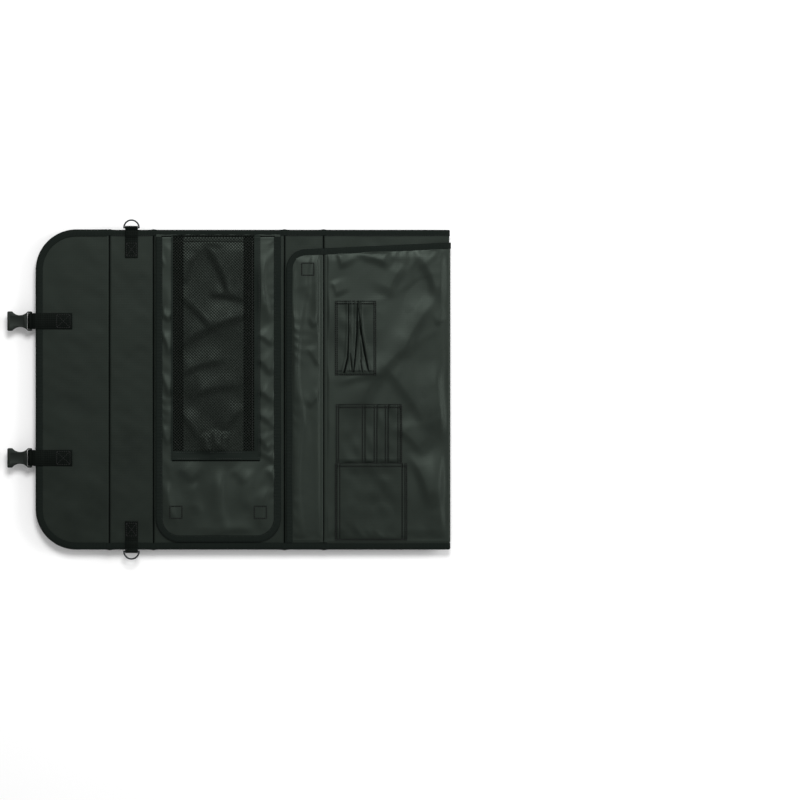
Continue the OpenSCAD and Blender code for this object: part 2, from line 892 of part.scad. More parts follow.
// Half-round piping in three runs, broken by the straps
module piping() {
    edge = buckle_span / 2 + web_w / 2 + 1;
    inner = buckle_span / 2 - web_w / 2 - 1;
    runs = [[-tape_y, -edge], [-inner, inner], [edge, tape_y]];
    color("#9c3a50") in_front() for (run = runs)
        translate([piping_in, (run[0] + run[1]) / 2, 0]) along_y(run[1] - run[0])
            intersection() {
                translate([0, -half_t]) circle(r = piping_d / 2, $fn = round_fn);
                translate([-piping_d, -half_t - piping_d]) square([2 * piping_d, piping_d]);
            }
}

strap_end = piping_in + piping_d / 2;

module front_straps() {
    color("#101313") in_front() for (y = buckle_y)
        translate([0, y, 0]) layer(-half_t - web_t, -half_t) span(crease_gap, strap_end, web_w / 2);
}

// Tool leaf over the front, its edge rolled down past the front's free edge
module leaf_lip(r0, r1) {
    centre_x = front_w - half_t;
    centre_z = leaf_top - lip_outer;
    translate([centre_x, centre_z]) intersection() {
        difference() {
            circle(r = r1, $fn = round_fn);
            circle(r = r0, $fn = round_fn);
        }
        square([2 * r1, 2 * r1]);
    }
    translate([centre_x + r0, -half_t]) square([r1 - r0, centre_z + half_t]);
}

module tool_leaf_profile() {
    translate([tool_leaf_back, leaf_z]) square([front_w - half_t - tool_leaf_back, leaf_t]);
    leaf_lip(lip_inner, lip_outer);
}

module in_front_as_gusset() {
    in_front() translate([-gusset_w, 0, 0]) children();
}

module tool_leaf() {
    color("#2c3331") intersection() {
        in_front() along_y(2 * case_l) tool_leaf_profile();
        in_front_as_gusset() layer(-half_t - 1, leaf_top + 1) tool_leaf_shape(leaf_tape_t);
    }
}

module tool_leaf_binding() {
    color("#171b1a") difference() {
        intersection() {
            in_front() along_y(2 * case_l) {
                translate([tool_leaf_back, leaf_z - leaf_tape_t])
                    square([front_w - half_t - tool_leaf_back, leaf_t + 2 * leaf_tape_t]);
                leaf_lip(lip_outer - 0.1, lip_outer + leaf_tape_t);
            }
            in_front_as_gusset() layer(-half_t - 1, leaf_tape_top + 1) difference() {
                tool_leaf_shape(0);
                tool_leaf_shape(tape_w);
            }
        }
        intersection() {
            in_front() along_y(2 * case_l) {
                tool_leaf_profile();
                translate([0, leaf_z]) square([tool_leaf_back + 1, leaf_t]);
            }
            in_front_as_gusset() layer(-half_t - 2, leaf_top + 1) tool_leaf_shape(leaf_tape_t);
        }
    }
}

// A sewn pocket panel with pairs of raised seams across it
module pocket(at, seams) {
    layer(leaf_top, leaf_top + pocket_t) difference() {
        translate([at[0], at[2]]) square([at[1] - at[0], at[3] - at[2]]);
        for (x = seams)
            translate([x - 0.4, at[2] + 2]) square([0.8, at[3] - at[2] - 4]);
    }
}

module tool_pockets() {
    color("#262c2a") in_front() {
        pocket(slot_pocket, slot_seams);
        pocket(card_pocket, card_seams);
        pocket(wide_pocket, wide_seams);
    }
}

// Plug half of the buckle, drawn from its crosspiece's face, prongs towards +X
module plug() {
    half_w = buckle_w / 2;
    x_end = -plug_frame_l;
    x_mid0 = x_end + end_bar + slot_a;
    x_mid1 = x_mid0 + mid_bar;
    difference() {
        union() {
            layer(-plug_frame_t / 2, plug_frame_t / 2) round_rect(x_end, -1, half_w, 2);
            intersection() {
                layer(-buckle_t / 2, buckle_t / 2) round_rect(-cross_l, 0, half_w, 1.5);
                along_y(buckle_w) polygon([
                    [-cross_l, -plug_frame_t / 2], [-cross_l, plug_frame_t / 2], [-cross_l + 3, buckle_t / 2],
                    [0, buckle_t / 2], [0, -buckle_t / 2], [-cross_l + 3, -buckle_t / 2]
                ]);
            }
        }
        layer(-buckle_t, buckle_t) {
            span(x_end + end_bar, x_mid0, slot_half);
            span(x_mid1, -cross_l, slot_half);
        }
        // The middle bar lies low, so that the strap crosses it flush
        for (side = [-1, 1])
            translate([x_mid0 - 1, -slot_half, side > 0 ? plug_frame_t / 2 - 1.2 : -plug_frame_t / 2 - 1])
                cube([mid_bar + 2, 2 * slot_half, side > 0 ? 3 : 1 + 1.3]);
    }
    // Guide tongue with a tapered tip
    layer(-prong_t / 2, prong_t / 2) polygon([
        [-1, -guide_w / 2], [guide_l - 5, -guide_w / 2], [guide_l, -guide_w / 4],
        [guide_l, guide_w / 4], [guide_l - 5, guide_w / 2], [-1, guide_w / 2]
    ]);
}

// Spring arm on the +Y side: a beam from its root to a barbed head
module arm() {
    in_y = arm_y - arm_t / 2;
    out_y = arm_y + arm_t / 2;
    catch_x = socket_l + mate_gap - window[1] + mate_gap;
    translate([arm_x, arm_y, -prong_t / 2]) cylinder(r = arm_t / 2, h = prong_t, $fn = round_fn);
    layer(-prong_t / 2, prong_t / 2) polygon([
        [arm_x, in_y + 0.1], [arm_x, out_y - 0.1], [arm_x + 2, out_y], [catch_x, out_y],
        [catch_x, out_y + arm_head], [catch_x + 5, out_y + arm_head],
        [arm_l - 1, out_y - 1], [arm_l, in_y + 0.8], [arm_l - 1, in_y], [arm_x + 2, in_y]
    ]);
}

// Strap through the adjuster: in by the far slot, over the bar, out by the near one
module plug_strap_profile() {
    x_end = plug_x - plug_frame_l;
    x_mid0 = x_end + end_bar + slot_a;
    x_mid1 = x_mid0 + mid_bar;
    start = strap_end + web_t;
    top = buckle_drop + plug_frame_t / 2;
    translate([start, -strap_z - web_t]) square([x_mid1 + strap_turn + web_t - start, web_t]);
    translate([x_mid1 + strap_turn, -top]) square([web_t, top - strap_z]);
    translate([x_mid0 - strap_turn - web_t, -top])
        square([mid_bar + 2 * (strap_turn + web_t), web_t]);
    translate([x_mid0 - strap_turn - web_t, -top]) square([web_t, top - tail_z]);
    translate([start + 1, -tail_z - web_t]) square([x_mid0 - strap_turn - start - 1, web_t]);
}

module plug_at(y) {
    in_front() translate([plug_x, y, -buckle_drop]) children();
}

module plug_strap(y) {
    in_front() translate([0, y, 0]) along_y(web_w) plug_strap_profile();
}

module plug_left() {
    color("#15181a") plug_at(buckle_y[0]) plug();
}

module plug_right() {
    color("#15181a") plug_at(buckle_y[1]) plug();
}

module plug_strap_left() {
    color("#101313") plug_strap(buckle_y[0]);
}

module plug_strap_right() {
    color("#101313") plug_strap(buckle_y[1]);
}

module arm_left_a() {
    color("#15181a") plug_at(buckle_y[0]) arm();
}

module arm_left_b() {
    color("#15181a") plug_at(buckle_y[0]) mirror([0, 1, 0]) arm();
}

module arm_right_a() {
    color("#15181a") plug_at(buckle_y[1]) arm();
}

module arm_right_b() {
    color("#15181a") plug_at(buckle_y[1]) mirror([0, 1, 0]) arm();
}

flap_outer();
flap_board();
flap_lining();
flap_binding();
socket_tabs();
socket_left();
socket_right();
socket_web_left();
socket_web_right();
top_outer();
top_board();
top_lining();
top_binding();
dring_tabs();
handle_brackets();
handle_rivets();
ring_left();
ring_right();
handle_core();
handle_sleeve();
dring_left();
dring_right();
back_outer();
back_board();
back_lining();
back_binding();
blade_sleeve();
elastic_strap();
back_loop_patches();
knife_leaf();
knife_leaf_binding();
mesh_pocket();
mesh_tape();
knife_hook_patches();
gusset_outer();
gusset_board();
gusset_lining();
gusset_binding();
gusset_straps();
gusset_loop_patch();
tool_leaf_edge();
tool_edge_binding();
tool_hook_patch();
front_outer();
front_board();
front_lining();
front_binding();
piping();
front_straps();
tool_leaf();
tool_leaf_binding();
tool_pockets();
plug_left();
plug_right();
plug_strap_left();
plug_strap_right();
arm_left_a();
arm_left_b();
arm_right_a();
arm_right_b();
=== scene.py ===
"""Knife case, laid open: cloth, tape, webbing, net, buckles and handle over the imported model."""
import math

import bpy
import numpy as np
from bpy.props import FloatProperty, FloatVectorProperty, PointerProperty
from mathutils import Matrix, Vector


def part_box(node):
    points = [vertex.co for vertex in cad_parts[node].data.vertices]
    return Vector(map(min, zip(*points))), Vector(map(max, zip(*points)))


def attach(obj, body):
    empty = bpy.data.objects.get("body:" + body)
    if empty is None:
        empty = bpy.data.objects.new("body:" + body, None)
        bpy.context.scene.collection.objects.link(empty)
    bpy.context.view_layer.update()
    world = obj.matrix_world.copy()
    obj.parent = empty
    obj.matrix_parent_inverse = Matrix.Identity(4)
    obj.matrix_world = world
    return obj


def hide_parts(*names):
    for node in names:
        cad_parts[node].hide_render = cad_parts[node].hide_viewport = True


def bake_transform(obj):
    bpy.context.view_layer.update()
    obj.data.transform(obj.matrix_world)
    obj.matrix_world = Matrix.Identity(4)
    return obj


bl_info = {
    "name": "Knife case",
    "version": (1, 0, 0),
    "blender": (4, 5, 0),
    "location": "View3D > Sidebar > Knife case",
    "description": "Dresses the folding knife case in cloth, tape, webbing and net",
    "category": "Object",
}

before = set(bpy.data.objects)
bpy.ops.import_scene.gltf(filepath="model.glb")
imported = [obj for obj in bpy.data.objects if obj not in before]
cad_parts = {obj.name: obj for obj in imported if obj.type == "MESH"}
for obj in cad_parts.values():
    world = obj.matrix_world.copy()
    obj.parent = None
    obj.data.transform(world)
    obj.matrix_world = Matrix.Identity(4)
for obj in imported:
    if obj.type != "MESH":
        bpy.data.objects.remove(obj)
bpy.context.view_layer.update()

MM = 0.001


def span(node, axis):
    """Lowest and highest place of a node along an axis, in millimetres."""
    low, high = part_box(node)
    return low[axis] / MM, high[axis] / MM


# Places and sizes are in millimetres. X runs from the buckles to the front's free edge, Y along
# the creases and Z up out of the lining.
HALF = 2.0  # half of a panel's thickness
PLANE = span("back_outer", 2)[0] + HALF  # height of the panels' middle
X_TF = span("top_outer", 0)[0] + HALF  # crease between top and flap
X_TB = span("back_outer", 0)[0] + HALF  # crease between top and back
X_BG = span("back_outer", 0)[1] - HALF  # crease between back and gusset
X_GP = span("gusset_outer", 0)[1] - HALF  # crease between gusset and front
X_FLAP = span("flap_binding", 0)[0]  # free edge of the flap
X_NOSE = span("front_outer", 0)[1]  # free edge of the front
X_LIP = span("tool_leaf", 0)[1]  # outside of the tool leaf's rolled edge
X_HANDLE = (X_TF + X_TB) / 2
END = span("back_binding", 1)[1]  # ends of the panels, from the middle line
BUCKLE_Y = sum(span("socket_right", 1)) / 2
FLAP_R = 63.0  # round of the flap's corners
FACE = HALF - 0.05  # where a panel's cloth starts
CLOTH_IN = 0.9  # how far the cloth stops short of a bound edge
CREASE = 4.0  # half-width of the cloth that bends at a crease
CLOTH_LAP = 0.2  # how far the cloth over a crease laps the panels' cloth
STRIP_LAP = 0.3  # how far a bending tape, strap or leaf laps what it joins
STITCH_IN = 8.8  # the tape's row of stitches, from the bound edge
LEAF_Z = 4.2  # height of a leaf over the panels' middle
LEAF_Y = END - 10.2  # seam that a leaf turns on
LEAF_LIFT = 0.35  # top of a leaf's cloth over that height
LEAF_CLOTH = 0.7  # thickness of that cloth
LEAF_TAPE_HALF = 1.2  # half of the height of a leaf's tape
SEAM_CLOTH = 0.3  # thickness of the dark cloth laid in seams
CREASES = {
    "flap": (X_TF, "top_panel", "flap_panel"),
    "top": (X_TB, "back_panel", "top_panel"),
    "bottom": (X_BG, "back_panel", "bottom_gusset"),
    "front": (X_GP, "bottom_gusset", "front_panel"),
}
PANELS = {
    "top": (X_TF, X_TB, "top_panel"),
    "back": (X_TB, X_BG, "back_panel"),
    "gusset": (X_BG, X_GP, "bottom_gusset"),
}


# Colours and properties
def linear(hex_colour):
    """An sRGB hex colour as the linear values that shaders take."""
    values = [int(hex_colour[i:i + 2], 16) / 255 for i in (1, 3, 5)]
    return tuple(v / 12.92 if v <= 0.04045 else ((v + 0.055) / 1.055) ** 2.4 for v in values)


def colour_prop(name, description, hex_colour):
    """A colour that the panel shows."""
    return FloatVectorProperty(
        name=name, description=description, subtype="COLOR", size=3, min=0, max=1,
        default=linear(hex_colour))


class CaseColours(bpy.types.PropertyGroup):
    """Colours of the case's finishes"""
    shell: colour_prop("Outer cloth", "Coated nylon on the outside", "#101513")
    lining: colour_prop("Lining", "Satin nylon inside the panels", "#0e120f")
    leaf: colour_prop("Leaves", "Satin nylon of the two leaves", "#101411")
    tape: colour_prop("Binding tape", "Ribbed tape round the edges", "#0b100e")
    webbing: colour_prop("Webbing", "Woven straps and tabs", "#040605")
    net: colour_prop("Net", "Knitted net of the large pocket", "#161b17")
    piping: colour_prop("Piping", "Corded piping on the front", "#7f2238")
    plastic: colour_prop("Buckles", "Moulded buckle halves", "#0a0c0b")
    grip: colour_prop("Grip", "Sleeve of the handle", "#2f3435")
    floor: colour_prop("Floor", "Floor under the case", "#fbfbfb")


class CaseSizes(bpy.types.PropertyGroup):
    """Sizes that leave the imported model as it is"""
    cloth: FloatProperty(
        name="Cloth", description="Thickness of the outer cloth and the lining",
        default=0.6 * MM, min=0.3 * MM, max=0.8 * MM, unit="LENGTH")
    tape: FloatProperty(
        name="Tape", description="Width of the binding tape on each face",
        default=10 * MM, min=8 * MM, max=12 * MM, unit="LENGTH")
    webbing: FloatProperty(
        name="Webbing", description="Width of the straps and tabs",
        default=25 * MM, min=20 * MM, max=25 * MM, unit="LENGTH")
    wrinkle: FloatProperty(
        name="Wrinkles", description="Height of the leaves' unevenness, to which their folds keep",
        default=1.0 * MM, min=0, max=1.4 * MM, unit="LENGTH")
    net_cell: FloatProperty(
        name="Net cell", description="Width of one opening in the net",
        default=4.7 * MM, min=3 * MM, max=12 * MM, unit="LENGTH")
    stitch: FloatProperty(
        name="Stitch", description="Length of one stitch",
        default=2.6 * MM, min=2 * MM, max=5 * MM, unit="LENGTH")


def colours():
    """The scene's case colours."""
    return bpy.context.scene.case_colours


def sizes():
    """The scene's case sizes, in metres."""
    return bpy.context.scene.case_sizes


# Materials
def add(material, kind, settings=None, links=None):
    """Adds a node, sets its values and inputs, and links other nodes' sockets into it."""
    made = material.node_tree.nodes.new(kind)
    for key, value in (settings or {}).items():
        if isinstance(key, int) or key in made.inputs:
            made.inputs[key].default_value = value
        else:
            setattr(made, key, value)
    for key, source in (links or {}).items():
        material.node_tree.links.new(source, made.inputs[key])
    return made


def new_material(name):
    """A material with no nodes yet."""
    material = bpy.data.materials.new(name)
    material.use_nodes = True
    material.node_tree.nodes.clear()
    return material


def finish_material(material, shader_settings, links):
    """Adds the surface shader and the output."""
    shader = add(material, "ShaderNodeBsdfPrincipled", shader_settings, links)
    add(material, "ShaderNodeOutputMaterial", None, {"Surface": shader.outputs["BSDF"]})
    return material


def colour_4(colour, factor=1.0):
    """A colour made darker or paler, with its alpha."""
    return tuple(min(1.0, c * factor) for c in colour) + (1.0,)


# A noise's scale is its number of grains to the metre
GREEN_GLOSS = (0.82, 1.0, 0.87, 1.0)  # coated black cloth shines a little green


def woven(name, colour, pitch, rough, depth, sheen=0.0, uv=False, shade=0.75, cross=True,
          thread_shade=0.12, shine=0.3):
    """Woven cloth: threads at a pitch in bump and shade, under soft clouds of wear."""
    material = new_material(name)
    place = add(material, "ShaderNodeTexCoord").outputs["UV" if uv else "Object"]
    # At scale 1 the wave texture has 20 / tau ribs to the metre
    ribs = {"wave_type": "BANDS", "wave_profile": "SIN", "Distortion": 0.0,
            "Scale": math.tau / 20 / (pitch * MM)}
    height = add(material, "ShaderNodeTexWave", dict(ribs, bands_direction="X"),
                 {"Vector": place}).outputs["Fac"]
    if cross:
        weft = add(material, "ShaderNodeTexWave", dict(ribs, bands_direction="Y"),
                   {"Vector": place})
        height = add(material, "ShaderNodeMath", {"operation": "MULTIPLY"},
                     {0: height, 1: weft.outputs["Fac"]}).outputs[0]
    clouds = add(material, "ShaderNodeTexNoise",
                 {"Scale": 18.0, "Detail": 4.0, "Roughness": 0.6},
                 {"Vector": place}).outputs["Fac"]
    fluff = add(material, "ShaderNodeTexNoise", {"Scale": 900.0, "Detail": 2.0},
                {"Vector": place})
    worn = add(material, "ShaderNodeMapRange", {"From Min": 0.3, "From Max": 0.7},
               {"Value": clouds})
    tone = add(material, "ShaderNodeMix", {
        "data_type": "RGBA", 6: colour_4(colour, shade), 7: colour_4(colour, 2 - shade)},
        {0: worn.outputs["Result"]})
    covered = add(material, "ShaderNodeMath", {"operation": "MULTIPLY", 1: 0.8}, {0: height})
    threads = add(material, "ShaderNodeMix", {
        "data_type": "RGBA", "blend_type": "MULTIPLY",
        7: colour_4((1 - thread_shade * 2.5,) * 3)}, {0: covered.outputs[0], 6: tone.outputs[2]})
    gloss = add(material, "ShaderNodeMapRange", {
        "From Min": 0.3, "From Max": 0.7, "To Min": rough - 0.06, "To Max": rough + 0.08},
        {"Value": clouds})
    fuzz = add(material, "ShaderNodeMath", {"operation": "MULTIPLY", 1: 0.4},
               {0: fluff.outputs["Fac"]})
    relief = add(material, "ShaderNodeMath", {"operation": "ADD"},
                 {0: height, 1: fuzz.outputs[0]})
    bump = add(material, "ShaderNodeBump", {"Strength": 1.0, "Distance": depth * MM},
               {"Height": relief.outputs[0]})
    return finish_material(material, {
        "Sheen Weight": sheen, "Sheen Roughness": 0.45, "Specular IOR Level": shine,
        "Specular Tint": GREEN_GLOSS},
        {"Base Color": threads.outputs[2], "Roughness": gloss.outputs["Result"],
         "Normal": bump.outputs["Normal"]})


def moulded(name, colour, rough):
    """Moulded plastic: fine matt grain, rounded edges that catch the light."""
    material = new_material(name)
    place = add(material, "ShaderNodeTexCoord").outputs["Object"]
    speck = add(material, "ShaderNodeTexNoise", {"Scale": 1400.0, "Detail": 3.0},
                {"Vector": place})
    wear = add(material, "ShaderNodeTexNoise", {"Scale": 60.0, "Detail": 4.0},
               {"Vector": place})
    tone = add(material, "ShaderNodeMix", {
        "data_type": "RGBA", 6: colour_4(colour, 0.85), 7: colour_4(colour, 1.25)},
        {0: wear.outputs["Fac"]})
    gloss = add(material, "ShaderNodeMapRange", {"To Min": rough - 0.06, "To Max": rough + 0.1},
                {"Value": wear.outputs["Fac"]})
    soft_edge = add(material, "ShaderNodeBevel", {"samples": 6, "Radius": 0.6 * MM})
    bump = add(material, "ShaderNodeBump", {"Strength": 1.0, "Distance": 0.04 * MM},
               {"Height": speck.outputs["Fac"], "Normal": soft_edge.outputs["Normal"]})
    return finish_material(
        material, {"Specular IOR Level": 0.24, "Specular Tint": (0.86, 1.0, 0.9, 1.0)},
        {"Base Color": tone.outputs[2], "Roughness": gloss.outputs["Result"],
         "Normal": bump.outputs["Normal"]})


def metal(name, colour, rough, scale, metallic=1.0):
    """Blackened or painted steel with faint scuffs."""
    material = new_material(name)
    place = add(material, "ShaderNodeTexCoord").outputs["Object"]
    scuffs = add(material, "ShaderNodeTexNoise",
                 {"Scale": scale, "Detail": 5.0, "Roughness": 0.7}, {"Vector": place})
    worn = add(material, "ShaderNodeMapRange", {"From Min": 0.55, "From Max": 0.75},
               {"Value": scuffs.outputs["Fac"]})
    tone = add(material, "ShaderNodeMix", {
        "data_type": "RGBA", 6: colour_4(colour), 7: colour_4(colour, 2.4)},
        {0: worn.outputs["Result"]})
    gloss = add(material, "ShaderNodeMapRange", {"To Min": rough - 0.08, "To Max": rough + 0.12},
                {"Value": scuffs.outputs["Fac"]})
    bump = add(material, "ShaderNodeBump", {"Strength": 0.5, "Distance": 0.05 * MM},
               {"Height": scuffs.outputs["Fac"]})
    return finish_material(material, {"Metallic": metallic}, {
        "Base Color": tone.outputs[2], "Roughness": gloss.outputs["Result"],
        "Normal": bump.outputs["Normal"]})


def rubbed(name, colour, rough, sheen=0.0):
    """Rubber or bonded leather: fine pores, a dull sheen, paler where hands rub it."""
    material = new_material(name)
    place = add(material, "ShaderNodeTexCoord").outputs["Object"]
    pores = add(material, "ShaderNodeTexVoronoi", {"Scale": 900.0}, {"Vector": place})
    rub = add(material, "ShaderNodeTexNoise", {"Scale": 35.0, "Detail": 4.0},
              {"Vector": place})
    tone = add(material, "ShaderNodeMix", {
        "data_type": "RGBA", 6: colour_4(colour, 0.8), 7: colour_4(colour, 1.35)},
        {0: rub.outputs["Fac"]})
    gloss = add(material, "ShaderNodeMapRange", {"To Min": rough - 0.08, "To Max": rough + 0.1},
                {"Value": rub.outputs["Fac"]})
    bump = add(material, "ShaderNodeBump", {"Strength": 0.6, "Distance": 0.06 * MM},
               {"Height": pores.outputs["Distance"]})
    return finish_material(material, {"Sheen Weight": sheen, "Specular IOR Level": 0.5}, {
        "Base Color": tone.outputs[2], "Roughness": gloss.outputs["Result"],
        "Normal": bump.outputs["Normal"]})


def fibrous(name, colour, scale, rough):
    """Board, thread and fastener pile: matt, with fibres in colour and bump."""
    material = new_material(name)
    place = add(material, "ShaderNodeTexCoord").outputs["Object"]
    fibre = add(material, "ShaderNodeTexNoise",
                {"Scale": scale, "Detail": 5.0, "Roughness": 0.7},
                {"Vector": place})
    tone = add(material, "ShaderNodeMix", {
        "data_type": "RGBA", 6: colour_4(colour, 0.7), 7: colour_4(colour, 1.3)},
        {0: fibre.outputs["Fac"]})
    bump = add(material, "ShaderNodeBump", {"Strength": 0.8, "Distance": 0.3 * MM},
               {"Height": fibre.outputs["Fac"]})
    return finish_material(material, {"Roughness": rough}, {
        "Base Color": tone.outputs[2], "Normal": bump.outputs["Normal"]})


MATERIALS = {}


def make_materials():
    """Every finish of the case, under its name."""
    paint = colours()
    # Real threads are 0.3 to 0.5 mm apart, too fine to show here. All weaves are drawn at
    # 1.1 to 2.8 mm, as coarse as the picture needs.
    made = (
        # Polyurethane-coated nylon, plain weave: dull, with a faint thread grid
        woven("coated_nylon", paint.shell, 2.4, 0.5, 0.12, shine=0.2),
        # Calendered satin nylon: smoother and glossier, so that each fold shows
        woven("satin_lining", paint.lining, 2.6, 0.5, 0.05, thread_shade=0.05, shine=0.2),
        # The same satin unlined, as loose leaves: the glossiest cloth of the case
        woven("satin_leaf", paint.leaf, 2.6, 0.46, 0.04, thread_shade=0.05, shine=0.29),
        # Plain nylon of the pockets: its threads show a little more than the leaf's
        woven("pocket_nylon", paint.leaf, 2.2, 0.48, 0.06, shine=0.26),
        # Grosgrain tape: matt ribs straight across its length
        woven("grosgrain_tape", paint.tape, 2.2, 0.6, 0.22, sheen=0.02, uv=True, shade=0.9,
              cross=False, shine=0.1),
        # Polypropylene webbing: deep black, coarse ribs and cross threads
        woven("woven_webbing", paint.webbing, 2.8, 0.52, 0.3, sheen=0.02, uv=True, shade=0.9,
              shine=0.06),
        # Cotton twill over a cord: the only colour of the case, soft at its edges
        woven("piping_twill", paint.piping, 2.0, 0.55, 0.2, sheen=0.05, uv=True, shade=0.9),
        # Knitted polyester net: threads a little paler than what shows through them
        woven("knitted_net", paint.net, 1.1, 0.5, 0.1, sheen=0.05, shade=0.9, shine=0.18),
        # Painted shade in sewn valleys, creases, pleats and the net's contact shade: cloth taking no light
        woven("shadow_cloth", linear("#040605"), 2.4, 0.8, 0.1, shine=0.05),
        # Folded satin tape of the net's hem: flat and dark beside the net
        woven("hem_satin", paint.tape, 2.4, 0.5, 0.06, shine=0.12),
        # Injection-moulded acetal: matt black with thin bright edges
        moulded("matt_acetal", paint.plastic, 0.5),
        # Dip-painted steel wire: half gloss, with grey scuffs
        metal("painted_wire", linear("#202326"), 0.34, 220.0, 0.6),
        # Oxide-blackened steel rivets: dark metal with pale rubbed spots
        metal("blackened_steel", linear("#3a3e42"), 0.38, 350.0),
        # Extruded sleeve rubber: dull grey, paler where the hand holds it
        rubbed("sleeve_rubber", paint.grip, 0.45, 0.15),
        # Bonded leather strap: near black, smoother than the sleeve
        rubbed("bonded_strap", linear("#191c1d"), 0.5),
        # Polyester thread on the leaves: stitches just paler than their valleys
        fibrous("sewing_thread", linear("#151916"), 2000.0, 0.7),
        # Polyester thread on tape and webbing: stitches that stay darker than the cloth
        fibrous("dark_thread", linear("#050706"), 2000.0, 0.7),
        # Nylon hook-and-loop pile: rough and without any gloss
        fibrous("fastener_pile", linear("#1b201f"), 1500.0, 0.95),
        # Pressed grey board: a dull brown-grey felt of fibres
        fibrous("grey_board", linear("#6b5a44"), 200.0, 0.9))
    MATERIALS.update({material.name: material for material in made})


# Cloth making
def pick_only(piece):
    """Selects one piece and makes it the active one."""
    bpy.ops.object.select_all(action="DESELECT")
    piece.select_set(True)
    bpy.context.view_layer.objects.active = piece


def apply_all(piece):
    """Applies a piece's modifiers."""
    pick_only(piece)
    for modifier in list(piece.modifiers):
        bpy.ops.object.modifier_apply(modifier=modifier.name)


def edit(piece, *steps):
    """Runs edit-mode steps on all of a piece's mesh."""
    pick_only(piece)
    bpy.ops.object.mode_set(mode="EDIT")
    bpy.ops.mesh.select_all(action="SELECT")
    for step in steps:
        step()
    bpy.ops.object.mode_set(mode="OBJECT")


def points_of(mesh):
    """A mesh's points as an array, in metres."""
    co = np.empty(len(mesh.vertices) * 3)
    mesh.vertices.foreach_get("co", co)
    return co.reshape(-1, 3)


def grid(name, columns, rows, place):
    """A grid laid out by place(u, v), which gives x, y, z and the cloth's own s, t, in mm."""
    bpy.ops.object.select_all(action="DESELECT")
    bpy.ops.mesh.primitive_grid_add(
        x_subdivisions=columns, y_subdivisions=rows, size=2, location=(0, 0, 0))
    piece = bpy.context.object
    piece.name = name
    mesh = piece.data
    mesh.name = name
    co = points_of(mesh)
    x, y, z, s, t = place((co[:, 0] + 1) / 2, (co[:, 1] + 1) / 2)
    mesh.vertices.foreach_set("co", (np.stack([x, y, z], 1) * MM).ravel())
    corners = np.empty(len(mesh.loops), int)
    mesh.loops.foreach_get("vertex_index", corners)
    uv = np.stack([s + 0 * x, t + 0 * x], 1)[corners] * MM
    mesh.uv_layers[0].data.foreach_set("uv", uv.ravel())
    mesh.update()
    return piece


def join(name, pieces):
    """Joins pieces into one under a name."""
    bpy.ops.object.select_all(action="DESELECT")
    for piece in pieces:
        piece.select_set(True)
    bpy.context.view_layer.objects.active = pieces[0]
    bpy.ops.object.join()
    pieces[0].name = name
    return pieces[0]


def thicken(piece, thickness):
    """Gives a sheet its thickness, behind its faces."""
    shell = piece.modifiers.new("cloth", "SOLIDIFY")
    shell.thickness = thickness * MM
    shell.offset = -1
    apply_all(piece)


def coat(piece, material, angle, replaced):
    """Gives a shaped piece its shading and material, and hides the nodes that it stands for."""
    pick_only(piece)
    bpy.ops.object.shade_smooth_by_angle(angle=math.radians(angle))
    piece.data.materials.clear()
    piece.data.materials.append(MATERIALS[material])
    if replaced:
        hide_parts(*replaced)


def dress(piece, material, slot, body=None, blend=None, angle=35, replaced=(), thickness=None):
    """Finishes a cloth: thickness, material, and the body that it follows, or with a blend only its place
    baked in. Its slot is not used.
    """
    if thickness:
        thicken(piece, thickness)
    edit(piece, lambda: bpy.ops.mesh.normals_make_consistent(inside=False))
    coat(piece, material, angle, replaced)
    if blend:
        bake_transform(piece)
    else:
        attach(piece, body)
    return piece


def across_crease(key):
    """The blend of a strip over a crease, from the panel that stays to the one that turns."""
    x, body_a, body_b = CREASES[key]
    reach = -CREASE if key in ("flap", "top") else CREASE
    return body_a, body_b, (x - reach, 0, PLANE), (x + reach, 0, PLANE)


# Soft surfaces
WAVES = 16  # cosines in a ripple


def ripple(x, y, seed, size):
    """A smooth, seamless random surface about one unit high, with waves near the given size."""
    draw = np.random.default_rng(seed)
    total = np.zeros_like(x, dtype=float)
    for _ in range(WAVES):
        turn = draw.uniform(0, math.tau)
        wave = size * draw.uniform(0.6, 1.7)
        phase = draw.uniform(0, math.tau)
        along = x * math.cos(turn) + y * math.sin(turn)
        total += np.cos(math.tau * along / wave + phase)
    return total / math.sqrt(WAVES / 2)


def folds(x, y, seed, size, width):
    """Narrow ridges that wander over the cloth, as creases do in thin nylon."""
    return np.exp(-(ripple(x, y, seed, size) / width) ** 2)


def smooth(edge0, edge1, value):
    """A soft step from 0 at one edge to 1 at the other."""
    t = np.clip((value - edge0) / (edge1 - edge0), 0, 1)
    return t * t * (3 - 2 * t)


def bell(distance, width):
    """A smooth bump one unit high at distance 0."""
    return np.exp(-(distance / width) ** 2)


def laid_folds(x, y, table):
    """Soft folds between two places each, one side steeper: x, y, x, y, width, height."""
    total = np.zeros_like(x, dtype=float)
    for xa, ya, xb, yb, width, height in table:
        length = math.hypot(xb - xa, yb - ya)
        dx, dy = (xb - xa) / length, (yb - ya) / length
        run = (x - xa) * dx + (y - ya) * dy
        bow = 0.05 * length * np.sin(np.clip(run / length, 0, 1) * math.pi)
        off = (x - xa) * dy - (y - ya) * dx + bow
        steep = np.where(off > 0, off / (width * 0.8), off / (width * 2.2))
        start = smooth(-0.2 * length, 0.25 * length, run)
        stop = smooth(-0.2 * length, 0.25 * length, length - run)
        total = total + height * np.exp(-steep ** 2) * start * stop
    return total


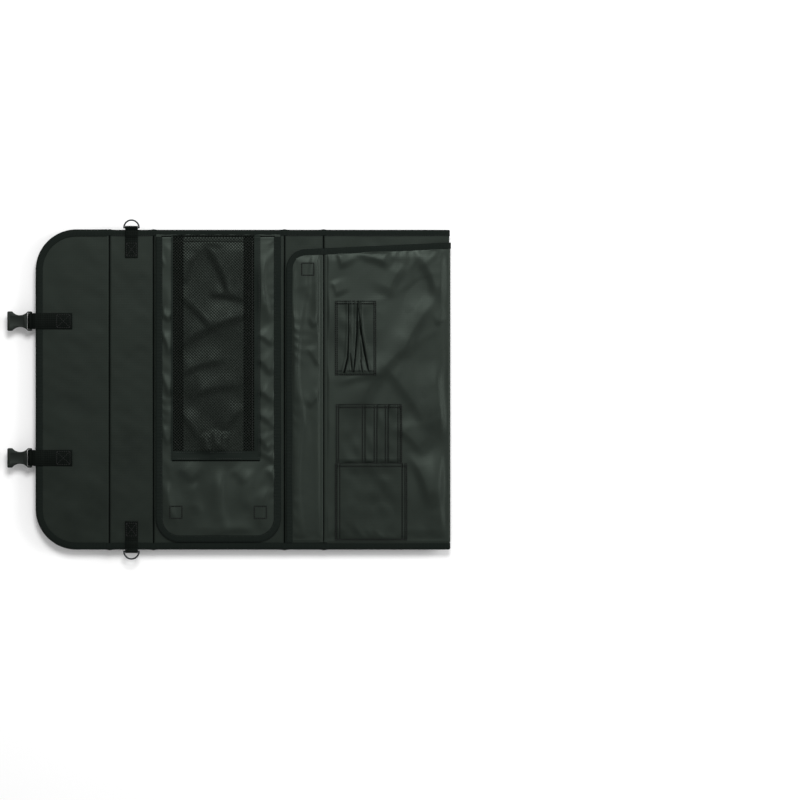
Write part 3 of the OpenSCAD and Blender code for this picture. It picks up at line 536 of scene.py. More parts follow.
def puckers(distance, run, seed):
    """Small gathers where cloth is sewn into its tape, dying out away from it."""
    pitch, height = 22.0, 0.75
    waver = run / pitch * math.tau + 2.2 * np.sin(run / 37 + seed) \
        + 1.7 * np.sin(run / 17.3 + 2 * seed)
    strength = 0.35 + 0.45 * np.sin(run / 53 + seed * 1.7) + 0.35 * np.sin(run / 21 + seed)
    fade = smooth(7.5, 12, distance) * np.exp(-np.maximum(distance - 12, 0) / 11)
    slant = distance * 0.12 + 0.8 * np.sin(distance / 5 + run / 23)
    return height * np.clip(strength, 0, 1) * np.cos(waver + slant) * fade


LINING_SEED, SHELL_SEED = 11, 21


def skin(x, y, seed):
    """Slight unevenness of cloth on a board, pulled in along the sewn creases."""
    relief = 0.16 * ripple(x, y, seed, 70) + 0.07 * ripple(x, y, seed + 1, 28)
    pull = 0
    for crease, _, _ in CREASES.values():
        relief = relief * (1 - bell(x - crease, 6))
        pull = pull + 0.75 * bell(x - crease, 1.7)
    return np.clip(relief, -0.5, 0.5) - pull


def flap_half(x):
    """Half-width of the flap at x, with its rounded corners."""
    deep = np.clip(FLAP_R - (x - X_FLAP), 0, FLAP_R)
    return END - FLAP_R + np.sqrt(np.maximum(FLAP_R ** 2 - deep ** 2, 0))


def flap_x(u):
    """Columns of the flap, closer together towards its rounded edge."""
    start = X_FLAP + CLOTH_IN
    return start + (X_TF - CREASE - start) * (1 - np.cos(u * math.pi / 2))


def evenly(x0, x1):
    """Columns at an even step."""
    return lambda u: x0 + (x1 - x0) * u


def panel_cloth(name, x_at, side, columns=24, rows=90, half_at=lambda x: END):
    """One face of a panel: side 1 is the lining, side -1 the outer cloth."""
    def place(u, v):
        x = x_at(u)
        y = side * (2 * v - 1) * (half_at(x) - CLOTH_IN)
        relief = skin(x, y, LINING_SEED if side > 0 else SHELL_SEED)
        return x, y, PLANE + side * (FACE + relief), x, y
    return grid(name, columns, rows, place)


def crease_cloth(name, key, side):
    """One face of the cloth over a crease, lapping the panels."""
    x = CREASES[key][0]
    lap = CREASE + CLOTH_LAP
    return panel_cloth(name + key, evenly(x - lap, x + lap), side, columns=14)


class BuildShell(bpy.types.Operator):
    """Outer cloth of the five panels and of the creases between them"""
    bl_idname = "case.build_shell"
    bl_label = "Outer cloth"

    def execute(self, context):
        def finish(piece, **more):
            dress(piece, "coated_nylon", "shell", thickness=sizes().cloth / MM, **more)

        for key, (x0, x1, body) in PANELS.items():
            finish(panel_cloth("shell_" + key, evenly(x0 + CREASE, x1 - CREASE), -1),
                   body=body, replaced=[key + "_outer"])
        finish(panel_cloth("shell_flap", flap_x, -1, 40, half_at=flap_half),
               body="flap_panel", replaced=["flap_outer"])

        # The front's cloth rolls round its free edge up to the lining
        flat = X_NOSE - HALF - X_GP - CREASE

        def front_place(u, v):
            s = u * (flat + math.pi * FACE)
            angle = np.clip((s - flat) / FACE, 0, math.pi)
            x = X_GP + CREASE + np.minimum(s, flat) + FACE * np.sin(angle)
            y = (1 - 2 * v) * (END - CLOTH_IN)
            z = -FACE * np.cos(angle) - skin(x, y, SHELL_SEED) * np.where(angle > 0, 0, 1)
            return x, y, PLANE + z, x, y
        finish(grid("shell_front", 160, 90, front_place), body="front_panel",
               replaced=["front_outer"])
        for key in CREASES:
            finish(crease_cloth("shell_crease_", key, -1), blend=across_crease(key))
        return {"FINISHED"}


class BuildLining(bpy.types.Operator):
    """Satin lining of the panels and of the creases between them"""
    bl_idname = "case.build_lining"
    bl_label = "Lining"

    def execute(self, context):
        def finish(piece, **more):
            dress(piece, "satin_lining", "lining", thickness=sizes().cloth / MM, **more)

        spans_x = dict(PANELS, front=(X_GP, X_NOSE - HALF + CREASE, "front_panel"))
        for key, (x0, x1, body) in spans_x.items():
            finish(panel_cloth("lining_" + key, evenly(x0 + CREASE, x1 - CREASE), 1, 40, 110),
                   body=body, replaced=[key + "_lining"])
        finish(panel_cloth("lining_flap", flap_x, 1, 50, 110, flap_half),
               body="flap_panel", replaced=["flap_lining"])
        for key, (x, _, _) in CREASES.items():
            finish(crease_cloth("lining_crease_", key, 1), blend=across_crease(key))

            # Painted shade: a narrow dark strip down each crease's valley
            def seam(u, v):
                y = (2 * v - 1) * (END - 9)
                width = 1.9 + 0.35 * np.sin(y / 19) * np.sin(y / 31 + 1)
                sx = x + width * (u - 0.5)
                curl = 0.25 * np.abs(2 * u - 1)
                return sx, y, PLANE + HALF + 0.2 + skin(sx, y, LINING_SEED) + curl, sx, y
            dress(grid("crease_painted_shade_" + key, 6, 90, seam), "shadow_cloth", "lining",
                  blend=across_crease(key), thickness=SEAM_CLOTH)
        return {"FINISHED"}


# Tape, seams and stitches
def plan_points(points, step=5.0):
    """Points at an even step along a polyline, with tangents and running length."""
    points = np.array(points, float)
    lengths = np.r_[0, np.cumsum(np.linalg.norm(np.diff(points, axis=0), axis=1))]
    count = max(2, int(round(lengths[-1] / step)) + 1)
    s = np.linspace(0, lengths[-1], count)
    out = np.stack([np.interp(s, lengths, points[:, i]) for i in range(points.shape[1])], 1)
    tangent = np.gradient(out, axis=0)
    tangent /= np.linalg.norm(tangent, axis=1)[:, None]
    return out, tangent, s


def arc(cx, cy, r, start, end, steps=24):
    """Points round a centre, from angle to angle."""
    angles = np.radians(np.linspace(start, end, steps + 1))
    return [(cx + r * math.cos(a), cy + r * math.sin(a)) for a in angles]


def flap_outline(inset=0.0):
    """Plan line along the flap's rounded edge, from end to end."""
    x, y, r = X_FLAP + FLAP_R, END - FLAP_R, FLAP_R - inset
    return [(X_TF - CREASE, END - inset)] + arc(x, y, r, 90, 180) + arc(x, -y, r, 180, 270) \
        + [(X_TF - CREASE, inset - END)]


def tape_section(width, half):
    """Folded tape in section, from its upper sewn edge round the outside to its lower one."""
    top = [(width, half - 0.42), (width - 0.35, half - 0.08), (width * 0.7, half + 0.02),
           (width * 0.35, half + 0.04), (1.5, half), (0.55, half * 0.82), (0.1, half * 0.42)]
    return np.array(top + [(0, 0)] + [(d, -z) for d, z in reversed(top)])


def sweep(name, place, inward, up, length, section):
    """A section of (inward, up) places run along a path of points with their two directions."""
    rows = len(section) - 1
    run = np.r_[0, np.cumsum(np.linalg.norm(np.diff(section, axis=0), axis=1))]

    def lay(u, v):
        i = np.rint(u * (len(place) - 1)).astype(int)
        j = np.rint(v * rows).astype(int)
        p = place[i] + inward[i] * section[j, 0:1] + up[i] * section[j, 1:2]
        return p[:, 0], p[:, 1], p[:, 2], length[i], run[j]
    return grid(name, len(place) - 1, rows, lay)


def edge_tape(name, points, left, z, half, step, bumps=True):
    """Tape folded over an edge that runs through plan points, its inside to the left or right."""
    out, tangent, s = plan_points(points, step)
    inward = np.stack([-tangent[:, 1], tangent[:, 0], 0 * s], 1) * (1 if left else -1)
    up = np.tile([0.0, 0.0, 1.0], (len(s), 1))
    place = np.column_stack([out, np.full(len(s), z)])
    if bumps:
        # The tape stands out a little where the panels' cloth is doubled at a crease
        push = sum(0.9 * bell(out[:, 0] - crease[0], 3.5) for crease in CREASES.values())
        place = place - inward * push[:, None]
    place = place + up * (0.06 * np.sin(s * math.tau / 6.5))[:, None]
    return sweep(name, place, inward, up, s, tape_section(sizes().tape / MM, half))


def seam_shade_lines(name, lines, height, body, slot):
    """Painted shade of narrow sewn valleys: dark strips along plan lines, on the cloth below their
    stitches.
    """
    width = 1.3
    made = []
    for line in lines:
        out, tangent, s = plan_points(line, 3.0)

        def place(u, v):
            i = np.rint(u * (len(s) - 1)).astype(int)
            side = (0.5 - v) * width
            x, y = out[i, 0] + tangent[i, 1] * side, out[i, 1] - tangent[i, 0] * side
            return x, y, height(x, y) + 0.22 + 0.12 * np.cos(v * math.tau), s[i], side
        made.append(grid("seam", len(s) - 1, 2, place))
    return dress(join(name, made), "shadow_cloth", slot, body, thickness=0.25)


STITCH_PITCH = 3.4  # from one stitch to the next


def stitches(name, lines, height, body, material="sewing_thread", slot="leaf"):
    """Rows of single stitches along plan lines, each lying on the cloth."""
    bpy.ops.object.select_all(action="DESELECT")
    bpy.ops.mesh.primitive_uv_sphere_add(segments=6, ring_count=4, radius=1, location=(0, 0, 0))
    seed = bpy.context.object
    # One stitch: the sphere's axis laid along the thread, at its length, width and height
    unit = points_of(seed.data)[:, [2, 0, 1]] * [sizes().stitch / MM / 2, 0.38, 0.3]
    faces = [list(f.vertices) for f in seed.data.polygons]
    bpy.data.objects.remove(seed)
    points, polygons = [], []
    for line in lines:
        out, tangent, _ = plan_points(line, STITCH_PITCH)
        z = height(out[:, 0], out[:, 1])
        middles = out[:-1] + np.diff(out, axis=0) / 2
        for (x, y), (tx, ty), up in zip(middles, tangent[:-1, :2], z[:-1]):
            turned = np.column_stack([unit[:, 0] * tx - unit[:, 1] * ty,
                                      unit[:, 0] * ty + unit[:, 1] * tx, unit[:, 2]])
            base = len(points) * len(unit)
            points.append(turned + [x, y, up])
            polygons += [[base + i for i in face] for face in faces]
    mesh = bpy.data.meshes.new(name)
    mesh.from_pydata((np.concatenate(points) * MM).tolist(), [], polygons)
    piece = bpy.data.objects.new(name, mesh)
    bpy.context.collection.objects.link(piece)
    return dress(piece, material, slot, body, angle=80)


def box_line(x, y, half_x, half_y, cross=False):
    """Lines of a sewn box round a middle, with its diagonals if it is crossed."""
    corners = [(x - half_x, y - half_y), (x + half_x, y - half_y),
               (x + half_x, y + half_y), (x - half_x, y + half_y)]
    lines = [[corners[i], corners[(i + 1) % 4]] for i in range(4)]
    if cross:
        lines += [[corners[0], corners[2]], [corners[1], corners[3]]]
    return lines


def level(z):
    """A flat height, as a function of the place."""
    return lambda x, y: z + 0 * x


TAPE_HALF = HALF + 0.8  # half of the height of the tape over a panel's edge
TAPE_CLOTH = 0.7


class BuildBinding(bpy.types.Operator):
    """Grosgrain tape folded over the case's outer edges"""
    bl_idname = "case.build_binding"
    bl_label = "Binding"

    def execute(self, context):
        def finish(piece, **more):
            dress(piece, "grosgrain_tape", "binding", thickness=TAPE_CLOTH, **more)

        def both_ends(x0, x1, step=5.0):
            return [edge_tape("binding_end", [(x0, y), (x1, y)], y < 0, PLANE, TAPE_HALF, step)
                    for y in (-END, END)]

        finish(edge_tape("binding_flap", flap_outline(), True, PLANE, TAPE_HALF, 4.0),
               body="flap_panel", replaced=["flap_binding"])
        for key, (x0, x1, body) in PANELS.items():
            finish(join("binding_" + key, both_ends(x0 + CREASE, x1 - CREASE)),
                   body=body, replaced=[key + "_binding"])
        lap = CREASE + STRIP_LAP
        for key, (x, _, _) in CREASES.items():
            finish(join("binding_crease_" + key, both_ends(x - lap, x + lap, 0.8)),
                   blend=across_crease(key))

        # Along the front the tape's upper half turns round the free edge and under it
        section = tape_section(sizes().tape / MM, TAPE_HALF)
        middle = len(section) // 2
        upper, lower = section[:middle + 1], section[middle:]
        around = 12
        ends = []
        for y, side in ((-END, 1.0), (END, -1.0)):
            flat = plan_points([(X_GP + CREASE, y), (X_NOSE - HALF, y)])[0]
            steps = len(flat) - 1

            def turned(u, v):
                i = np.rint(u * (steps + around)).astype(int)
                d, z = upper[np.rint(v * middle).astype(int)].T
                angle = np.clip(i - steps, 0, around) * math.pi / around
                x = flat[np.minimum(i, steps), 0] + z * np.sin(angle)
                return x, y + side * d, PLANE + z * np.cos(angle), x, d
            ends.append(grid("binding_end", steps + around, middle, turned))

            def under(u, v):
                x = flat[np.rint(u * steps).astype(int), 0]
                d, z = lower[np.rint(v * middle).astype(int)].T
                return x, y + side * d, PLANE + z, x, d
            ends.append(grid("binding_end", steps, middle, under))
        piece = join("binding_front", ends)
        edit(piece, lambda: bpy.ops.mesh.remove_doubles(threshold=0.02 * MM))
        finish(piece, body="front_panel", replaced=["front_binding"])
        return {"FINISHED"}


# Leaves
KNIFE_X0, KNIFE_X1 = X_TB + 3.5, X_BG - 6.3  # sides of the knife leaf
KNIFE_R = 38.0  # round of its two free corners
KNIFE_END = -(END - 11.5)  # its free end
NET = (X_TB + 28, X_TB + 167, LEAF_Y - 350, LEAF_Y - 7)  # the net's sides, foot and top
HEM = 14.0  # height of the net's hem
TAPE_IN = 9.5  # width of the net's side tape
LEAF_IN = 0.6  # how far a leaf's cloth stops short of its taped edge
LEAF_TAPE_Z = 0.1  # middle of a leaf's tape over the leaf's height
LEAF_TAPE_CLOTH = 0.4
# A leaf's sewn end: how far before its seam it starts, its run, its drop and its cloth
ROOT_IN, ROOT_RUN, ROOT_DROP, ROOT_CLOTH = 8.0, 11.0, 1.9, 0.6


def knife_low(x, inset):
    """The knife leaf's rounded free end, as the lowest y at x."""
    r = KNIFE_R - inset
    deep = np.clip(np.maximum(KNIFE_X0 + KNIFE_R - x, x - (KNIFE_X1 - KNIFE_R)), 0, r)
    return KNIFE_END + inset + r - np.sqrt(r * r - deep * deep)


def knife_outline(inset, top):
    """Plan line down the knife leaf's left side, round its free end and up its right side."""
    y, r = KNIFE_END + KNIFE_R, KNIFE_R - inset
    return [(KNIFE_X0 + inset, top), (KNIFE_X0 + inset, y)] \
        + arc(KNIFE_X0 + KNIFE_R, y, r, 180, 270) + arc(KNIFE_X1 - KNIFE_R, y, r, 270, 360) \
        + [(KNIFE_X1 - inset, top)]


# Folds in the leaves, as laid_folds takes them
KNIFE_FOLDS = (
    (-8, -214, -12, -132, 7, 2.7), (-50, -190, -53, -148, 7, 2), (31, -185, 35, -132, 7, 2),
    (-75, -124, -56, -142, 8, 1.5), (62, -124, 76, -148, 8, 2), (8, -126, 26, -144, 9, 1.4),
    (48, 86, 67, 72, 6, 2.1), (47, 48, 66, 26, 7, 2.1), (48, -2, 68, -17, 6, 2.1),
    (47, -38, 70, -57, 6, 2.1), (48, -75, 63, -94, 6, 1.9), (50, -98, 72, -113, 6, 2.1),
    (61, 118, 55, 200, 5, 2.4), (-103, 196, -111, 232, 4, 1.8), (-110, 121, -94, 109, 4, 2.2),
    (-105, 88, -94, 58, 4, 2), (-106, 22, -94, -8, 4, 2), (-108, -60, -96, -84, 4, 1.8),
    (-30, -226, 34, -219, 6, 1.5), (-84, -206, -96, -150, 6, 2), (50, -212, 58, -160, 6, 2.1))
NET_FOLDS = (
    (-36, 228, 2, 150, 7, 4.5), (-84, 152, -26, 98, 7, 4.5), (-26, 150, 24, 142, 6, 3.3),
    (-76, 72, 20, 116, 8, 4.5), (-76, 26, -12, 48, 8, 3.3), (-60, -8, 12, 8, 8, 3.3),
    (-72, -38, -48, -74, 6, 3.6), (-10, -60, 20, -30, 7, 3), (-30, -98, -36, -72, 4, 4.5),
    (-9, -97, -4, -70, 4, 4.5), (-18, -90, -20, -66, 4, 3), (-70, 170, -60, 210, 8, 2.7))
TOOL_FOLDS = (
    (117, -70, 119, 150, 7, 2), (116, -236, 117, -10, 7, 2), (124, 148, 126, 212, 6, 1.8),
    (144, 118, 143, 214, 5, 1.6), (105, 88, 103, 182, 6, 1.5), (112, -22, 110, 78, 6, 1.4),
    (130, 100, 147, 109, 5, 1.5), (124, -26, 145, -6, 5, 1.5), (155, 20, 155, 214, 6, 1.6),
    (155, -230, 155, 60, 6, 1.6), (274, 60, 314, 134, 13, 2.6), (200, -26, 280, 72, 13, 2.6),
    (325, 104, 346, 114, 6, 1.8), (170, 216, 178, 192, 6, 1.8), (205, 212, 250, 197, 9, 2.6),
    (286, -108, 316, -176, 11, 3.2), (300, 210, 332, 146, 13, 2.6), (338, -66, 324, 30, 11, 2.8),
    (336, -222, 328, -110, 9, 2.6), (245, 40, 305, -50, 14, 2.4), (164, 168, 172, 148, 6, 1.4),
    (126, 64, 141, 40, 6, 1.4), (175, 12, 240, 26, 9, 2), (250, 150, 268, 190, 10, 2.2),
    (262, -60, 300, -96, 10, 2.2))


def knife_relief(x, y):
    """Soft folds of the knife leaf, flat under its tape, with more of them under the net."""
    edge = np.minimum(np.minimum(x - KNIFE_X0, KNIFE_X1 - x), np.minimum(y - KNIFE_END, LEAF_Y - y))
    height = sizes().wrinkle / MM
    soft = 1.0 + 0.55 * ripple(x, y * 0.6, 5, 60) + 0.3 * folds(x, y * 0.6, 6, 110, 0.5)
    total = smooth(7, 24, edge) * np.clip(soft, 0, 2.4) * height
    under = smooth(0, 18, x - NET[0]) * smooth(0, 14, NET[1] - x) \
        * smooth(-4, 8, y - NET[2] - 10) * smooth(0, 12, NET[3] - y)
    laid = laid_folds(x, y, KNIFE_FOLDS) + under * laid_folds(x, y, NET_FOLDS)
    total = total + smooth(7, 13, edge) * laid * height
    gathers = 0.5 * puckers(x - KNIFE_X0, y, 1) + 0.7 * puckers(KNIFE_X1 - x, y, 2) \
        + 0.4 * puckers(y - KNIFE_END, x, 3)
    return total + np.maximum(gathers, -0.25) * smooth(7, 12, edge) * height


def leaf_root(y):
    """Drop of the knife leaf from its own level to the lining, where it is sewn in."""
    return ROOT_DROP * smooth(0.5, 1, (y - LEAF_Y + ROOT_IN) / ROOT_RUN)


def at_root():
    """The blend of a piece over the knife leaf's seam, from the back to the leaf."""
    z = PLANE + LEAF_Z
    return "back_panel", "knife_page", (X_TB, LEAF_Y + 2, z), (X_TB, LEAF_Y - 7, z)


class BuildKnifePage(bpy.types.Operator):
    """Knife leaf: wrinkled satin, its tape and its sewn end"""
    bl_idname = "case.build_knife_page"
    bl_label = "Knife leaf"

    def execute(self, context):
        z0 = PLANE + LEAF_Z
        width, length = KNIFE_X1 - KNIFE_X0, LEAF_Y - KNIFE_END
        cloth_x = evenly(KNIFE_X0 + LEAF_IN, KNIFE_X1 - LEAF_IN)

        def place(u, v):
            x = cloth_x(0.5 - 0.5 * np.cos(u * math.pi))
            low = knife_low(x, LEAF_IN)
            y = low + (LEAF_Y - 6 - low) * v
            return x, y, z0 + LEAF_LIFT + knife_relief(x, y), x, y
        leaf = dress(grid("knife_leaf_cloth", 104, 236, place), "satin_leaf", "leaf", "knife_page",
                     replaced=["knife_leaf"], thickness=LEAF_CLOTH, angle=60)

        def root(u, v):
            x, y = cloth_x(u), LEAF_Y - ROOT_IN + ROOT_RUN * v
            return x, y, z0 + LEAF_LIFT - leaf_root(y), x, y
        dress(grid("knife_leaf_root", 40, 10, root), "satin_leaf", "leaf", thickness=ROOT_CLOTH,
              blend=at_root())

        # Painted shade: a dark strip along the leaf's sewn end, where it goes under the binding
        def seam(u, v):
            x, y = KNIFE_X0 + 9 + (width - 18) * u, LEAF_Y - 1.2 + 1.8 * v
            over_net = smooth(NET[0] - 3, NET[0], x) * smooth(-NET[1] - 3, -NET[1], -x)
            return x, y, z0 + 0.75 - leaf_root(y) + 1.3 * over_net, x, y
        dress(grid("knife_leaf_sewn_end_shade", 90, 3, seam), "shadow_cloth", "leaf", thickness=SEAM_CLOTH,
              blend=at_root())
        tape = edge_tape("knife_leaf_tape", knife_outline(0, LEAF_Y - 1), True, z0 + LEAF_TAPE_Z,
                         LEAF_TAPE_HALF, 4.0, bumps=False)
        dress(tape, "grosgrain_tape", "binding", "knife_page", replaced=["knife_leaf_binding"],
              thickness=LEAF_TAPE_CLOTH)
        # The two rounded corners take 0.43 of a square on their radius off the leaf's area
        return {"FINISHED"}


def net_lift(x, y):
    """Height of the net over the leaf: it bags between its sewn sides."""
    across = smooth(0, 22, x - NET[0]) * smooth(0, 22, NET[1] - TAPE_IN - x)
    along = smooth(0, 10, NET[3] - y) * smooth(0, 10, y - NET[2] - 8)
    return 0.9 + across * along * np.clip(0.7 + 0.35 * ripple(x, y, 41, 60), 0, 2)


class BuildNet(bpy.types.Operator):
    """Large pocket of diamond net with its hem and side tape"""
    bl_idname = "case.build_net"
    bl_label = "Net pocket"

    def execute(self, context):
        x0, x1, y0, y1 = NET
        z0 = PLANE + LEAF_Z + LEAF_CLOTH
        cell = sizes().net_cell / MM
        thread = 1.2

        def cut(x, y, outwards):
            """A step that cuts a mesh at a plane and takes away what lies outwards of it."""
            def step():
                bpy.ops.mesh.select_all(action="SELECT")
                bpy.ops.mesh.bisect(plane_co=(x * MM, y * MM, 0), plane_no=outwards, clear_outer=True)
            return step

        def lattice(name, ya, yb, height):
            """Diamond net cut from one lattice, so that neighbouring cuts meet."""
            steps = int((x1 - x0 + 2 * max(abs(ya), abs(yb))) / cell) + 4
            steps += steps % 2

            def turned(u, v):
                a, b = np.rint((u - 0.5) * steps) * cell, np.rint((v - 0.5) * steps) * cell
                x, y = (x0 + x1) / 2 + (a - b) / 2, (a + b) / 2
                return x, y, 0 * x + z0, x, y
            net = grid(name, steps, steps, turned)
            edit(net, cut(x0 + 1, 0, (-1, 0, 0)), cut(x1 - TAPE_IN + 2, 0, (1, 0, 0)),
                 cut(0, ya, (0, -1, 0)), cut(0, yb, (0, 1, 0)))
            co = points_of(net.data) / MM
            co[:, 2] = height(co[:, 0], co[:, 1])
            net.data.vertices.foreach_set("co", (co * MM).ravel())
            wires = net.modifiers.new("threads", "WIREFRAME")
            wires.thickness = thread * MM
            wires.use_even_offset = False
            wires.use_boundary = True
            apply_all(net)
            return net
        net = lattice("net_pocket", y0 + HEM - 2, y1 - 1,
                      lambda x, y: z0 + knife_relief(x, y) + net_lift(x, y))
        dress(net, "knitted_net", "mesh", "knife_page", angle=80, replaced=["mesh_pocket"])
        root_y = (y1 - 1.2, LEAF_Y + 1.5)
        dress(lattice("net_root", *root_y, lambda x, y: z0 + 0.9 - leaf_root(y)),
              "knitted_net", "mesh", angle=80, blend=at_root())

        def strip(name, xs, ys, lift, material, slot, columns, rows, replaced=(), root=False):
            """A strip of cloth along the net, over the leaf's folds or over its sewn end."""
            def place(u, v):
                x, y = evenly(*xs)(u), evenly(*ys)(v)
                low = -leaf_root(y) if root else knife_relief(x, y)
                return x, y, z0 + low + lift(x, y), x, y
            return dress(grid(name, columns, rows, place), material, slot, "knife_page",
                         replaced=replaced, thickness=0.5, blend=at_root() if root else None)

        def raised(x, y):
            return net_lift(x, y) + 0.75
        flat = level(0.25)
        # net_shade_left and net_shade_right are painted shade: dark cloth under the net's sides
        for name, xs, lift, material, slot in (
                ("net_shade_left", (x0 + 1, x0 + 19), flat, "shadow_cloth", "mesh"),
                ("net_shade_right", (x1 - TAPE_IN - 17, x1 - TAPE_IN + 2), flat, "shadow_cloth", "mesh"),
                ("net_left_edge", (x0 - 0.5, x0 + 2.5), raised, "hem_satin", "binding"),
                ("net_side_tape", (x1 - TAPE_IN, x1), raised, "hem_satin", "binding")):
            replaced = ["mesh_tape"] if name == "net_side_tape" else []
            side = strip(name, xs, (y0 + 4, y1 - 0.8), lift, material, slot, 8, 120, replaced)
            strip(name + "_root", xs, root_y, lift, material, slot, 6, 8, root=True)
        strip("net_hem", (x0 - 0.5, x1), (y0, y0 + HEM),
              lambda x, y: raised(x, y) + 0.5 * np.sin(x / 21) ** 2, "hem_satin", "binding", 60, 8)
        # Painted shadow: a thin dark strip along the foot of the hem
        strip("net_hem_shade", (x0 + 1, x1 - 1), (y0 - 1.9, y0 + 2), flat, "shadow_cloth", "binding", 60, 3)
        # The knit's threads cover 0.6 of the net; its side tape, made last, goes with it
        return {"FINISHED"}


# The tool leaf's left side, and the two sides of its crease over the front's
TOOL_X0, TOOL_EDGE_END, TOOL_X1 = X_BG + 2.5, X_GP - 5.6, X_GP + 5.8
TOOL_R = 31.0  # round of its upper left corner
TOOL_SLOPE = 12 / 258.0  # rise of its upper side to the right
TOOL_CREASE = ("tool_page_edge", "tool_page", (TOOL_EDGE_END, 0, PLANE), (TOOL_X1, 0, PLANE))
# Past the front's free edge the leaf rolls down on this radius and hangs a little
LIP_FLAT, LIP_R, LIP_DROP = X_NOSE - HALF, 3.2, 2.4
LIP_END = LIP_FLAT + LIP_R * math.pi / 2 + LIP_DROP


def tool_top(x):
    """Upper side of the tool leaf, which is slanted."""
    return END - 32 + TOOL_SLOPE * (x - TOOL_X0)


def tool_high(x):
    """Top edge of the tool leaf with its rounded corner over the gusset."""
    deep = np.clip(TOOL_X0 + TOOL_R - x, 0, TOOL_R)
    return tool_top(x) - TOOL_R + np.sqrt(TOOL_R ** 2 - deep ** 2)


def tool_relief(x, y):
    """Folds of the tool leaf, strongest over the gusset and beside the front's crease."""
    edge = np.minimum(x - TOOL_X0, np.minimum(tool_top(x) - y, y + LEAF_Y))
    height = sizes().wrinkle / MM * smooth(0, 13, X_LIP - 4 - x)
    soft = 1.0 + 0.55 * ripple(x, y * 0.6, 15, 70) + 0.25 * folds(x, y, 16, 130, 0.5)
    total = smooth(6, 22, edge) * np.clip(soft, 0, 2.4) * height
    wander = 2.0 * np.sin(y / 61.0) + 0.8 * np.sin(y / 27.0 + 1)
    total = total + smooth(6, 13, edge) * laid_folds(x + wander, y, TOOL_FOLDS) * height
    swell = smooth(X_LIP - 60, X_LIP - 26, x) * smooth(4, 30, X_LIP - x)
    total = total + smooth(6, 22, edge) * 1.5 * swell
    gathers = 0.6 * puckers(x - TOOL_X0, y, 4) + puckers(tool_top(x) - y, x, 5) \
        + 0.5 * puckers(y + LEAF_Y, x, 6)
    total = total + np.maximum(gathers, -0.2) * smooth(6, 11, edge) * height
    # Towards the front's crease the folds lie lower, so that they clear it as it closes
    room = 0.3 + 0.1 * np.maximum(np.abs(x - X_GP) - 4, 0) ** 2
    total = (total + room - np.sqrt((total - room) ** 2 + 0.5)) / 2
    return total * (1 - 0.85 * bell(x - X_GP, 2.2)) - bell(x - X_GP, 2.0)


def lip_place(s):
    """x, z and turn along the leaf's profile, over the front and down past its rolled edge."""
    run = s - LIP_FLAT
    angle = np.clip(run / LIP_R, 0, math.pi / 2)
    drop = np.maximum(run - LIP_R * math.pi / 2, 0)
    x = np.minimum(s, LIP_FLAT) + LIP_R * np.sin(angle)
    z = LEAF_Z - LIP_R * (1 - np.cos(angle)) - drop
    return x, z, angle


